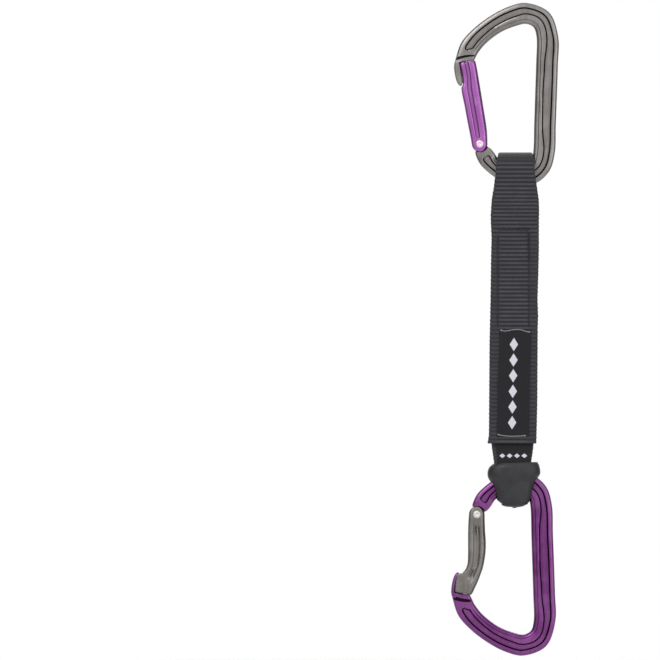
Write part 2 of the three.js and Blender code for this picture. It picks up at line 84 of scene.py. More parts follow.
Feed = Union[bpy.types.NodeSocket, float, tuple]


class Side(Enum):
    """Which way a face of the quickdraw looks along Y."""

    FRONT = -1.0
    BACK = 1.0


class GateStyle(Enum):
    """The two shapes of gate."""

    STRAIGHT = "straight"
    BENT = "bent"


@dataclass(frozen=True)
class Spot:
    """One point of a cross-section: how far across, how deep, and how much painted shade it gets."""

    across: float
    depth: float
    # Share of painted shade: how much darker the colour is painted here, where shade would fall.
    painted_shade: float = 0.0


# ------------------------------------------------------------------- curves


def blend_between(low: float, high: float, share: float) -> float:
    """Returns the value that lies the given share of the way from low to high."""
    return low + (high - low) * share


def point_between(first: Point, second: Point, share: float) -> Point:
    """Returns the point that lies the given share of the way to the second."""
    return blend_between(first[0], second[0], share), blend_between(first[1], second[1], share)


def swung(u: float, v: float, angle: float) -> Point:
    """Returns a point turned about the origin by an angle in radians."""
    return u * math.cos(angle) - v * math.sin(angle), u * math.sin(angle) + v * math.cos(angle)


def both_faces(front: Sequence[Spot]) -> list[tuple[Spot, float]]:
    """Returns the spots round a whole section, each with its side, from its front half."""
    back = [(spot, Side.BACK.value) for spot in reversed(front)]
    return [(spot, Side.FRONT.value) for spot in front] + back


def ease(start: float, end: float, value: float) -> float:
    """Smooth step between two values.

    Args:
        start: Value at which the step begins.
        end: Value at which the step is complete.
        value: Value to look up.

    Returns:
        0 before start, 1 past end, and a smooth rise between them.
    """
    share = min(max((value - start) / (end - start), 0.0), 1.0)
    return share * share * (3 - 2 * share)


def curve_at(points: Sequence[Point], station: float) -> Point:
    """A point on the centripetal curve through some points.

    Args:
        points: The points that the curve passes through.
        station: Where on the curve, counted in points from the first one.

    Returns:
        The point of the curve at that station.
    """
    last = len(points) - 1
    i = min(int(station), last - 1)
    t = station - i
    before = points[i - 1] if i > 0 else tuple(2 * a - b for a, b in zip(points[0], points[1]))
    if i + 2 <= last:
        after = points[i + 2]
    else:
        after = tuple(2 * a - b for a, b in zip(points[last], points[last - 1]))
    four = (before, points[i], points[i + 1], after)
    gaps = [max(math.dist(four[k], four[k + 1]) ** 0.5, 1e-4) for k in range(3)]
    place = []
    for p0, p1, p2, p3 in zip(*four):
        leave = ((p1 - p0) / gaps[0] - (p2 - p0) / (gaps[0] + gaps[1]) + (p2 - p1) / gaps[1]) * gaps[1]
        reach = ((p2 - p1) / gaps[1] - (p3 - p1) / (gaps[1] + gaps[2]) + (p3 - p2) / gaps[2]) * gaps[1]
        bend = -3 * p1 + 3 * p2 - 2 * leave - reach
        twist = 2 * p1 - 2 * p2 + leave + reach
        place.append(p1 + leave * t + bend * t * t + twist * t ** 3)
    return place[0], place[1]


def height_lookup(points: Sequence[Point], height: float) -> float:
    """Reads an edge at a height, easing where the edge steps sideways.

    Args:
        points: (x, z) points of the edge, from its top down.
        height: The height to read it at.

    Returns:
        The edge's x there, held at the end values outside the points.
    """
    if height >= points[0][1]:
        return points[0][0]
    for (x0, z0), (x1, z1) in zip(points, points[1:]):
        if height >= z1:
            is_step = abs(x1 - x0) > 2
            return blend_between(x0, x1, ease(z0, z1, height) if is_step else (z0 - height) / (z0 - z1))
    return points[-1][0]


def bezier(corners: Sequence[Point], steps: int) -> list[Point]:
    """Points along a cubic curve.

    Args:
        corners: Its four control points.
        steps: How many stretches to cut it into.

    Returns:
        The points, both ends among them.
    """
    found = []
    for k in range(steps + 1):
        t = k / steps
        weights = ((1 - t) ** 3, 3 * t * (1 - t) ** 2, 3 * t * t * (1 - t), t ** 3)
        found.append(tuple(sum(w * c[axis] for w, c in zip(weights, corners)) for axis in (0, 1)))
    return found


def arc(centre: Point, radius: float, start: float, end: float, steps: int) -> list[Point]:
    """Points along an arc, from one angle to another in degrees.

    Args:
        centre: Centre of the arc.
        radius: Its radius.
        start: First angle.
        end: Last angle.
        steps: How many stretches to cut it into.

    Returns:
        The points, both ends among them.
    """
    angles = [math.radians(blend_between(start, end, k / steps)) for k in range(steps + 1)]
    return [(centre[0] + radius * math.cos(a), centre[1] + radius * math.sin(a)) for a in angles]


def resample(path: Sequence[Point], pitch: float) -> list[tuple[Point, Point, float]]:
    """Walks a path in equal steps.

    Args:
        path: Points of the path.
        pitch: The length of a step, nearly.

    Returns:
        For each step, its place, its unit direction and the length walked.
    """
    lengths = [0.0]
    for a, b in zip(path, path[1:]):
        lengths.append(lengths[-1] + math.dist(a, b))
    steps = round(lengths[-1] / pitch)
    walked = []
    i = 0
    for k in range(steps + 1):
        along = lengths[-1] * k / steps
        while i < len(path) - 2 and lengths[i + 1] < along:
            i += 1
        share = (along - lengths[i]) / (lengths[i + 1] - lengths[i])
        walked.append((point_between(path[i], path[i + 1], share), along))
    result = []
    for k, (place, along) in enumerate(walked):
        before = walked[max(k - 1, 0)][0]
        after = walked[min(k + 1, steps)][0]
        span = math.dist(before, after)
        result.append((place, ((after[0] - before[0]) / span, (after[1] - before[1]) / span), along))
    return result


# ------------------------------------------------------------------- meshes


@dataclass
class Ring:
    """One closed loop of a swept shape, in metres, with what its points carry."""

    points: list[Vector]
    # Painted shade share of each point, which the materials darken the colour by.
    painted_shade: list[float]
    along: float = 0.0
    across: list[float] = field(default_factory=list)
    calm: list[float] = field(default_factory=list)


def sweep(bm: bmesh.types.BMesh, rings: Sequence[Ring], capped: bool = True) -> None:
    """Extrudes one closed loop of points from ring to ring.

    Args:
        bm: The mesh to add to.
        rings: The loops in order, all with the same number of points.
        capped: Whether both ends are filled.
    """
    layers = bm.verts.layers.float
    # The shade layer carries each point's painted shade to the materials.
    names = ("painted_shade", "along", "across", "calm")
    painted_shade, along, across, calm = [layers.get(name) or layers.new(name) for name in names]

    def place(verts: list, ring: Ring) -> None:
        """Puts a loop of vertices on a ring.

        Args:
            verts: The loop.
            ring: Where it goes.
        """
        for k, vert in enumerate(verts):
            vert.co = ring.points[k]
            vert[painted_shade] = ring.painted_shade[k]
            vert[along] = ring.along
            vert[across] = ring.across[k] if ring.across else 0.0
            vert[calm] = ring.calm[k] if ring.calm else 0.0

    count = len(rings[0].points)
    verts = bmesh.ops.create_circle(bm, cap_ends=False, radius=1, segments=count)["verts"]
    place(verts, rings[0])
    first = edges = [bm.edges.get((verts[k - 1], verts[k])) for k in range(count)]
    for ring in rings[1:]:
        made = bmesh.ops.extrude_edge_only(bm, edges=edges)["geom"]
        fresh = {v for v in made if isinstance(v, bmesh.types.BMVert)}
        verts = [next(e.other_vert(v) for e in v.link_edges if e.other_vert(v) in fresh) for v in verts]
        place(verts, ring)
        edges = [bm.edges.get((verts[k - 1], verts[k])) for k in range(count)]
    if capped:
        for loop in (first, edges):
            cap = bmesh.ops.contextual_create(bm, geom=loop)["faces"]
            bmesh.ops.triangulate(bm, faces=cap, quad_method="BEAUTY", ngon_method="BEAUTY")


def bevelled_plate(
    bm: bmesh.types.BMesh, outline: Sequence[Point], depth: float, rounding: float,
    place: Callable[[Point, float], Vector]
) -> None:
    """A flat outline with thickness in Y and rounded edges.

    Args:
        bm: The mesh to add to.
        outline: Its corners as (across, along).
        depth: Thickness, centred on Y = 0.
        rounding: Radius of its edges.
        place: Turns a corner and a depth into a point in metres.
    """
    ring = bmesh.ops.create_circle(bm, cap_ends=True, radius=1, segments=len(outline))["verts"]
    for vert, corner in zip(ring, outline):
        vert.co = place(corner, -depth / 2)
    face = next(f for f in bm.faces if set(f.verts) == set(ring))
    made = bmesh.ops.extrude_face_region(bm, geom=[face])["geom"]
    moved = [v for v in made if isinstance(v, bmesh.types.BMVert)]
    shift = place(outline[0], depth / 2) - place(outline[0], -depth / 2)
    bmesh.ops.translate(bm, verts=moved, vec=shift)
    bm.normal_update()
    rim = {e for v in (*ring, *moved) for e in v.link_edges}
    flat = [e for e in rim if abs((e.verts[0].co - e.verts[1].co).normalized().y) < 0.5]
    bmesh.ops.bevel(bm, geom=flat, offset=rounding * MM, offset_type="OFFSET", affect="EDGES", segments=3,
                    profile=0.5, material=-1, clamp_overlap=True)


def turned(bm: bmesh.types.BMesh, profile: Sequence[Point], centre: Vector, steps: int) -> None:
    """A part turned about an axis that runs along Y.

    Args:
        bm: The mesh to add to.
        profile: (radius, y) points in millimetres, both ends on the axis.
        centre: The axis' place, in metres.
        steps: Faces round the axis.
    """
    verts = [bm.verts.new(centre + Vector((r * MM, y * MM, 0))) for r, y in profile]
    edges = [bm.edges.new(pair) for pair in zip(verts, verts[1:])]
    bmesh.ops.spin(bm, geom=[*verts, *edges], cent=centre, axis=(0, 1, 0), angle=math.tau, steps=steps,
                   use_merge=True, use_duplicate=False)
    bmesh.ops.remove_doubles(bm, verts=bm.verts[:], dist=1e-7)


def to_object(bm: bmesh.types.BMesh, name: str, sharp: float = SHARP_TURN) -> bpy.types.Object:
    """Turns a bmesh into a smooth-shaded object at the origin.

    Args:
        bm: The mesh, which is freed.
        name: The object's name.
        sharp: Edges that turn by more degrees than this stay sharp.

    Returns:
        The new object, linked to the scene.
    """
    bmesh.ops.remove_doubles(bm, verts=bm.verts[:], dist=2e-6)
    bmesh.ops.dissolve_degenerate(bm, edges=bm.edges[:], dist=1e-7)
    bmesh.ops.recalc_face_normals(bm, faces=bm.faces[:])
    mesh = bpy.data.meshes.new(name)
    bm.to_mesh(mesh)
    bm.free()
    mesh.shade_smooth()
    mesh.set_sharp_from_angle(angle=math.radians(sharp))
    made = bpy.data.objects.new(name, mesh)
    bpy.context.scene.collection.objects.link(made)
    return made


def cut_away(piece: bpy.types.Object, cutters: Iterable[bmesh.types.BMesh]) -> None:
    """Cuts closed shapes out of a piece.

    Args:
        piece: The piece, whose mesh is replaced.
        cutters: The shapes to take away, which are freed.
    """
    tools = [to_object(bm, f"{piece.name}_cutter_{k}") for k, bm in enumerate(cutters)]
    for tool in tools:
        cut = piece.modifiers.new("cut", "BOOLEAN")
        cut.operation = "DIFFERENCE"
        cut.solver = "EXACT"
        cut.object = tool
    evaluated = piece.evaluated_get(bpy.context.evaluated_depsgraph_get())
    mesh = bpy.data.meshes.new_from_object(evaluated)
    piece.modifiers.clear()
    old = piece.data
    piece.data = mesh
    bpy.data.meshes.remove(old)
    for tool in tools:
        mesh_of_tool = tool.data
        bpy.data.objects.remove(tool)
        bpy.data.meshes.remove(mesh_of_tool)
    mesh.shade_smooth()
    mesh.set_sharp_from_angle(angle=math.radians(SHARP_TURN))


def box_cutter(low: Sequence[float], high: Sequence[float], place: Matrix) -> bmesh.types.BMesh:
    """A box between two corners.

    Args:
        low: Its lowest corner in millimetres.
        high: Its highest corner in millimetres.
        place: Where it goes, in metres.

    Returns:
        The box as a new bmesh.
    """
    bm = bmesh.new()
    bmesh.ops.create_cube(bm, size=1)
    span = [(b - a) * MM for a, b in zip(low, high)]
    middle = Vector([(a + b) / 2 * MM for a, b in zip(low, high)])
    bmesh.ops.scale(bm, vec=span, verts=bm.verts[:])
    bmesh.ops.translate(bm, vec=middle, verts=bm.verts[:])
    bmesh.ops.transform(bm, matrix=place, verts=bm.verts[:])
    return bm


def stitch(bm: bmesh.types.BMesh, middle: Vector, along: Vector, length: float, thick: float) -> None:
    """One stitch: a small bead of thread, longer than it is wide.

    Args:
        bm: The mesh to add to.
        middle: Its middle, in metres.
        along: The direction that it lies in.
        length: Its length in millimetres.
        thick: Its thickness in millimetres.
    """
    bead = bmesh.ops.create_uvsphere(bm, u_segments=8, v_segments=6, radius=1)["verts"]
    turn = along.to_track_quat("Z", "Y").to_matrix().to_4x4()
    size = Matrix.Diagonal((thick / 2 * MM, thick / 2 * MM, length / 2 * MM, 1))
    bmesh.ops.transform(bm, matrix=Matrix.Translation(middle) @ turn @ size, verts=bead)


# ---------------------------------------------------------------- materials


class Shader:
    """A material's node tree, with short calls for the nodes used here."""

    def __init__(self, name: str) -> None:
        """Starts a material with one Principled shader in it.

        Args:
            name: The material's name.
        """
        self.material = bpy.data.materials.new(name)
        self.material.use_nodes = True
        self.tree = self.material.node_tree
        self.shader = self.tree.nodes["Principled BSDF"]

    def link(self, value: Feed, socket: Socket) -> None:
        """Links a socket, or writes a plain value.

        Args:
            value: The socket or the value.
            socket: The input that takes it.
        """
        if isinstance(value, bpy.types.NodeSocket):
            self.tree.links.new(value, socket)
        else:
            socket.default_value = value

    def math(self, operation: str, first: Feed, second: Feed = 0.0) -> Socket:
        """Adds a math node.

        Args:
            operation: Its operation.
            first: Its first input.
            second: Its second input, where it has one.

        Returns:
            Its result.
        """
        node = self.tree.nodes.new("ShaderNodeMath")
        node.operation = operation
        self.link(first, node.inputs[0])
        self.link(second, node.inputs[1])
        return node.outputs[0]

    def ripple(self, angle: Feed) -> Socket:
        """Returns the sine of an angle, moved to run from 0 to 1."""
        return self.math("ADD", self.math("MULTIPLY", self.math("SINE", angle), 0.5), 0.5)

    def edges(self) -> Socket:
        """Returns how sharply the surface turns outwards."""
        return self.tree.nodes.new("ShaderNodeNewGeometry").outputs["Pointiness"]

    def attribute(self, name: str) -> Socket:
        """Reads one of the mesh's own attributes.

        Args:
            name: The attribute's name.

        Returns:
            Its value.
        """
        node = self.tree.nodes.new("ShaderNodeAttribute")
        node.attribute_name = name
        return node.outputs["Fac"]

    def place(self, scale: Sequence[float] = (1, 1, 1)) -> Socket:
        """Reads the object coordinates.

        Args:
            scale: Factor along each axis.

        Returns:
            The coordinates, scaled.
        """
        coordinates = self.tree.nodes.new("ShaderNodeTexCoord")
        mapping = self.tree.nodes.new("ShaderNodeMapping")
        mapping.inputs["Scale"].default_value = scale
        self.tree.links.new(coordinates.outputs["Object"], mapping.inputs["Vector"])
        return mapping.outputs[0]

    def axis(self, number: int) -> Socket:
        """Reads one object coordinate.

        Args:
            number: 0 for X, 1 for Y or 2 for Z.

        Returns:
            The coordinate, in metres.
        """
        node = self.tree.nodes.new("ShaderNodeSeparateXYZ")
        self.link(self.place(), node.inputs[0])
        return node.outputs[number]

    def noise(self, scale: float, detail: float = 3.0, stretch: Sequence[float] = (1, 1, 1)) -> Socket:
        """Adds a noise texture on object coordinates.

        Args:
            scale: How many cells it has in a metre.
            detail: How many finer layers it has.
            stretch: Factor on its scale along each axis.

        Returns:
            Its value.
        """
        node = self.tree.nodes.new("ShaderNodeTexNoise")
        self.link(self.place(stretch), node.inputs["Vector"])
        node.inputs["Scale"].default_value = scale
        node.inputs["Detail"].default_value = detail
        return node.outputs[0]

    def spread(
        self, value: Feed, low: float, high: float, to_low: float = 0.0, to_high: float = 1.0
    ) -> Socket:
        """Moves a value smoothly from one range to another and holds it there.

        Args:
            value: The value to move.
            low: Start of its own range.
            high: End of its own range.
            to_low: Start of the new range.
            to_high: End of the new range.

        Returns:
            The new value.
        """
        node = self.tree.nodes.new("ShaderNodeMapRange")
        node.interpolation_type = "SMOOTHSTEP"
        self.link(value, node.inputs["Value"])
        for name, number in zip(("From Min", "From Max", "To Min", "To Max"), (low, high, to_low, to_high)):
            node.inputs[name].default_value = number
        return node.outputs[0]

    def mix(self, share: Feed, first: Feed, second: Feed) -> Socket:
        """Mixes two colours.

        Args:
            share: How much of the second one shows.
            first: The first colour.
            second: The second colour.

        Returns:
            The mixed colour.
        """
        node = self.tree.nodes.new("ShaderNodeMix")
        node.data_type = "RGBA"
        self.link(share, node.inputs[0])
        self.link(first, node.inputs[6])
        self.link(second, node.inputs[7])
        return node.outputs[2]

    def bump(
        self, height: Feed, distance: float, strength: float, below: Union[Socket, None] = None
    ) -> Socket:
        """Raises the surface a little.

        Args:
            height: How high each point is, from 0 to 1.
            distance: What a height of 1 stands for, in metres.
            strength: How much of it shows.
            below: The normal of another bump that this one lies on.

        Returns:
            The normal.
        """
        node = self.tree.nodes.new("ShaderNodeBump")
        node.inputs["Strength"].default_value = strength
        node.inputs["Distance"].default_value = distance
        self.link(height, node.inputs["Height"])
        if below is not None:
            self.link(below, node.inputs["Normal"])
        return node.outputs[0]

    def set(self, **values) -> None:
        """Writes or links the shader's inputs, named with _ for a space."""
        for name, value in values.items():
            self.link(value, self.shader.inputs[name.replace("_", " ")])


def tint(red: int, green: int, blue: int, lift: float = 1.0) -> tuple[float, float, float, float]:
    """A colour as the eye reads it, made linear.

    Args:
        red: 0 to 255.
        green: 0 to 255.
        blue: 0 to 255.
        lift: Factor on the linear colour.

    Returns:
        The linear colour with an alpha of 1.
    """
    shares = [value / 255 for value in (red, green, blue)]
    linear = [lift * (c / 12.92 if c < 11 / 255 else ((c + 0.055) / 1.055) ** 2.4) for c in shares]
    return (*linear, 1.0)


@dataclass(frozen=True)
class Anodised:
    """Tumbled and anodised aluminium: satin, with painted shade where the mesh marks it and a painted
    highlight on sharp outer edges.
    """

    slot: str
    body: tuple[int, int, int]
    # Darker colour: random streaks, and at a quarter of its strength the painted shade.
    dark: tuple[int, int, int]
    # Paler colour: random cloudy tone, and the painted highlight on sharp outer edges.
    light: tuple[int, int, int]
    roughness: float = 0.36

    def build(self) -> bpy.types.Material:
        """Returns the material."""
        s = Shader(self.slot)
        cloud = s.noise(90, 4)
        grain = s.noise(5200, 2)
        streak = s.noise(900, 3, (1, 1, 0.12))
        base = s.mix(s.spread(cloud, 0.35, 0.65, 0, 0.35), tint(*self.body), tint(*self.light))
        base = s.mix(s.spread(streak, 0.3, 0.75, 0, 0.18), base, tint(*self.dark))
        # Painted highlight: sharp outer edges take the paler colour.
        base = s.mix(s.spread(s.edges(), 0.52, 0.6, 0, 0.4), base, tint(*self.light))
        # Painted shade: darker where the mesh marks painted shade.
        base = s.mix(s.spread(s.attribute("painted_shade"), 0.05, 1.0, 0, 0.94), base, tint(*self.dark, 0.25))
        rough = s.math("ADD", s.spread(cloud, 0.3, 0.7, self.roughness - 0.05, self.roughness + 0.07),
                       s.spread(grain, 0.3, 0.7, -0.04, 0.04))
        fine = s.bump(grain, 0.00002, 0.35)
        s.set(Base_Color=base, Metallic=0.92, Roughness=rough, Normal=s.bump(streak, 0.00003, 0.3, fine))
        return s.material


@dataclass(frozen=True)
class Steel:
    """Plain bright metal of the rivets and springs."""

    slot: str
    body: tuple[int, int, int]
    roughness: float = 0.24

    def build(self) -> bpy.types.Material:
        """Returns the material."""
        s = Shader(self.slot)
        cloud = s.noise(420, 3)
        scratch = s.noise(2600, 2, (1, 1, 0.2))
        base = s.mix(s.spread(cloud, 0.3, 0.7, 0, 0.3), tint(*self.body), tint(*self.body, 0.86))
        # Painted shade: darker where the mesh marks painted shade.
        base = s.mix(s.spread(s.attribute("painted_shade"), 0.1, 1, 0, 0.7), base, tint(*self.body, 0.3))
        rough = s.spread(scratch, 0.3, 0.7, self.roughness, self.roughness + 0.1)
        s.set(Base_Color=base, Metallic=0.85, Roughness=rough, Normal=s.bump(scratch, 0.00002, 0.25))
        return s.material


@dataclass(frozen=True)
class Webbing:
    """Nylon webbing: cross ribs over fine lengthwise yarns."""

    slot: str
    # crest is the painted highlight colour of a rib's top; trough is the painted shade colour between ribs,
    # also used for random darker patches.
    crest: tuple[int, int, int]
    trough: tuple[int, int, int]
    rib: float
    yarn: float

    def build(self) -> bpy.types.Material:
        """Returns the material."""
        s = Shader(self.slot)
        along = s.attribute("along")
        across = s.attribute("across")
        turns = s.math("MULTIPLY", along, math.tau / self.rib)
        rib = s.math("MULTIPLY", s.math("COSINE", turns), -0.5)
        rib = s.math("ADD", rib, 0.5)
        calm = s.attribute("calm")
        rib = s.math("MULTIPLY", rib, s.math("SUBTRACT", 1.0, calm))
        rib = s.math("ADD", rib, s.math("MULTIPLY", calm, 0.42))
        lean = s.math("ADD", s.math("MULTIPLY", across, math.tau / self.yarn), s.math("MULTIPLY", along, 2.6))
        yarn = s.ripple(lean)
        fuzz = s.noise(2400, 4)
        patch = s.noise(130, 3)
        # The rib term paints a highlight on each rib's crest and shade in its trough, calmer where calm is
        # high; the yarn and fuzz terms are the weave's own pattern.
        lit = s.math("MULTIPLY", s.spread(rib, 0.1, 0.95, 0.05, 1.0), s.spread(yarn, 0.0, 0.9, 0.62, 1.0))
        lit = s.math("MULTIPLY", lit, s.spread(fuzz, 0.25, 0.75, 0.6, 1.1))
        base = s.mix(lit, tint(*self.trough), tint(*self.crest))
        base = s.mix(s.spread(patch, 0.3, 0.7, 0.0, 0.3), base, tint(*self.trough))
        # Painted shade: darker where the mesh marks painted shade.
        base = s.mix(s.spread(s.attribute("painted_shade"), 0, 1, 0, 0.75), base, tint(*self.trough, 0.5))
        height = s.math("ADD", s.math("MULTIPLY", yarn, 0.6), s.math("MULTIPLY", fuzz, 0.7))
        s.set(Base_Color=base, Roughness=s.spread(fuzz, 0.2, 0.8, 0.72, 0.92), Sheen_Weight=0.25,
              Sheen_Roughness=0.5, Specular_IOR_Level=0.3, Normal=s.bump(height, 0.00014, 0.7))
        return s.material


@dataclass(frozen=True)
class WovenTape:
    """Smooth black tape, with a plain woven row of lozenges down its middle."""

    slot: str
    body: tuple[int, int, int]
    # dark is the painted shade between the weave's threads.
    dark: tuple[int, int, int]
    mark: tuple[int, int, int]
    middle: Point
    half_size: Point
    pitch: Point
    count: int
    tilt: float = 0.0225
    thread_pitch: float = 0.00042

    def lozenges(self, s: Shader) -> Socket:
        """Returns how much of the mark's thread shows at a point, 0 or 1.

        Args:
            s: The shader to build in.

        Returns:
            The socket of the row's mask.
        """
        x = s.math("DIVIDE", s.math("SUBTRACT", s.axis(0), self.middle[0] * MM), MM)
        z = s.math("DIVIDE", s.math("SUBTRACT", s.axis(2), self.middle[1] * MM), MM)
        lengthwise = self.pitch[1] > self.pitch[0]
        if lengthwise:
            x = s.math("SUBTRACT", x, s.math("MULTIPLY", z, self.tilt))
        run, other = (z, x) if lengthwise else (x, z)
        pitch = max(self.pitch)
        half_run, half_other = (self.half_size[1], self.half_size[0]) if lengthwise else self.half_size
        whole = s.math("ADD", s.math("DIVIDE", run, pitch), self.count / 2)
        local = s.math("MULTIPLY", s.math("SUBTRACT", s.math("FRACT", whole), 0.5), pitch)
        shape = s.math("ADD", s.math("DIVIDE", s.math("ABSOLUTE", local), half_run),
                       s.math("DIVIDE", s.math("ABSOLUTE", other), half_other))
        inside = s.spread(shape, 0.92, 1.04, 1.0, 0.0)
        in_row = s.math("LESS_THAN", s.math("ABSOLUTE", s.math("DIVIDE", run, pitch)), self.count / 2)
        on_front = s.math("LESS_THAN", s.axis(1), 0.0)
        return s.math("MULTIPLY", s.math("MULTIPLY", inside, in_row), on_front)

    def build(self) -> bpy.types.Material:
        """Returns the material."""
        s = Shader(self.slot if self.count else f"{self.slot}_plain")
        fine = math.tau / self.thread_pitch
        weft = s.ripple(s.math("MULTIPLY", s.axis(2), fine))
        warp = s.ripple(s.math("MULTIPLY", s.axis(0), fine * 0.8))
        fuzz = s.noise(3200, 4)
        # Painted highlight on the weave's threads and painted shade between them, on the tape and on the
        # marks' thread alike.
        weave = s.math("MULTIPLY", weft, s.spread(warp, 0, 1, 0.55, 1))
        lit = s.math("MULTIPLY", weave, s.spread(fuzz, 0.3, 0.7, 0.4, 1))
        base = s.mix(lit, tint(*self.dark), tint(*self.body))
        if self.count:
            thread = s.mix(lit, tint(*self.mark, 0.72), tint(*self.mark))
            base = s.mix(self.lozenges(s), base, thread)
        height = s.math("ADD", weft, s.math("MULTIPLY", fuzz, 0.6))
        s.set(Base_Color=base, Roughness=s.spread(fuzz, 0.3, 0.7, 0.7, 0.9), Sheen_Weight=0.15,
              Specular_IOR_Level=0.3, Normal=s.bump(height, 0.00009, 0.6))
        return s.material


@dataclass(frozen=True)
class Thread:
    """Twisted sewing thread."""

    slot: str
    body: tuple[int, int, int]
    twist_pitch: float = 0.0005

    def build(self) -> bpy.types.Material:
        """Returns the material."""
        s = Shader(self.slot)
        turns = math.tau / self.twist_pitch
        diagonal = s.math("ADD", s.math("MULTIPLY", s.axis(0), turns), s.math("MULTIPLY", s.axis(2), turns))
        twist = s.ripple(diagonal)
        fuzz = s.noise(3500, 3)
        # The twist term paints a highlight on each ply and shade between plies: a lit and a shaded copy of
        # the thread's colour.
        base = s.mix(s.math("MULTIPLY", twist, fuzz), tint(*self.body, 0.55), tint(*self.body, 1.1))
        s.set(Base_Color=base, Roughness=s.spread(fuzz, 0.3, 0.7, 0.6, 0.85), Sheen_Weight=0.2,
              Normal=s.bump(twist, 0.00008, 0.7))
        return s.material


@dataclass(frozen=True)
class Moulded:
    """Moulded rubber or plastic: fine spark-eroded texture, paler random patches and a painted highlight on
    sharp outer edges.
    """

    slot: str
    body: tuple[int, int, int]
    # Paler colour: random paler patches, and the painted highlight on sharp outer edges.
    pale_and_highlight: tuple[int, int, int]
    roughness: float

    def build(self) -> bpy.types.Material:
        """Returns the material."""
        s = Shader(self.slot)
        grain = s.noise(4200, 3)
        cloud = s.noise(160, 4)
        base = s.mix(s.spread(cloud, 0.3, 0.7, 0, 0.5), tint(*self.body), tint(*self.pale_and_highlight))
        # Painted highlight: sharp outer edges take the paler colour.
        base = s.mix(s.spread(s.edges(), 0.51, 0.6, 0, 0.5), base, tint(*self.pale_and_highlight))
        base = s.mix(s.spread(grain, 0.35, 0.7, 0, 0.25), base, tint(*self.body, 0.5))
        s.set(Base_Color=base, Roughness=s.spread(cloud, 0.3, 0.7, self.roughness, self.roughness + 0.12),
              Specular_IOR_Level=0.4, Normal=s.bump(grain, 0.00005, 0.5))
        return s.material


FINISHES = {
    "grey_anodised": Anodised("grey_anodised", (131, 127, 125), (50, 47, 45), (164, 161, 160)),
    "violet_anodised": Anodised("violet_anodised", (160, 96, 167), (76, 30, 86), (186, 124, 192), 0.38),
    "purple_anodised": Anodised("purple_anodised", (112, 54, 116), (38, 10, 42), (156, 100, 160), 0.34),
    "gunmetal_anodised": Anodised("gunmetal_anodised", (118, 115, 111), (46, 44, 40), (152, 148, 146), 0.38),
    "rivet_steel": Steel("rivet_steel", (206, 202, 200), 0.4),
    "rosy_rivet": Steel("rivet_steel", (232, 204, 224), 0.4),
    "spring_steel": Steel("spring_steel", (156, 156, 158), 0.3),
    "acetal": Moulded("acetal", (214, 212, 205), (226, 224, 218), 0.45),
    "nylon_webbing": Webbing("nylon_webbing", (80, 79, 85), (26, 25, 30), 2.1, 0.62),
    "black_tape": WovenTape("black_tape", (36, 35, 41), (11, 10, 14), (222, 218, 230),
                            (-6.85, -186.3), (2.2, 3.5), (0, 8.1), 6),
    "short_tape": WovenTape("black_tape", (34, 33, 38), (11, 10, 13), (222, 218, 230),
                            (-6.7, -223.7), (1.55, 1.2), (3.8, 0), 4),
    "black_thread": Thread("black_thread", (9, 8, 10)),
    "grey_thread": Thread("grey_thread", (150, 148, 150)),
    "moulded_rubber": Moulded("moulded_rubber", (31, 29, 33), (52, 51, 56), 0.42),
}


class Workshop:
    """Dresses finished pieces and fixes them to the frame."""

    def __init__(self, nodes: dict[str, bpy.types.Object]) -> None:
        """Starts with the CAD nodes and no materials built yet."""
        self.nodes = nodes
        self.built: dict[str, bpy.types.Material] = {}

    def material(self, finish: str) -> bpy.types.Material:
        """Returns a finish's material, built on first use."""
        if finish not in self.built:
            self.built[finish] = FINISHES[finish].build()
        return self.built[finish]

    def dress(self, piece: bpy.types.Object, finish: str) -> None:
        """Gives a piece one material all over.

        Args:
            piece: The piece to dress.
            finish: A name in FINISHES.
        """
        piece.data.materials.clear()
        piece.data.materials.append(self.material(finish))
        for face in piece.data.polygons:
            face.material_index = 0

    def fix(self, piece: bpy.types.Object, body: str, finish: str, *replaced: str) -> bpy.types.Object:
        """Dresses a piece and hangs it on its body.

        Args:
            piece: The finished piece.
            body: The CAD body it moves with.
            finish: A name in FINISHES.
            *replaced: The CAD nodes it stands for.

        Returns:
            The same piece.
        """
        self.dress(piece, finish)
        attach(piece, body)
        if replaced:
            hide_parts(*replaced)
        LOG.info("%s: %d faces on %s", piece.name, len(piece.data.polygons), body)
        return piece

    def keep(self, node: str, finish: str) -> None:
        """Keeps a CAD node and gives it a better material.

        Args:
            node: The node's name.
            finish: A name in FINISHES.
        """
        self.nodes[node].data.materials.clear()
        self.nodes[node].data.materials.append(self.material(finish))
        LOG.info("%s: kept, with %s", node, finish)


# --------------------------------------------------------------- carabiners


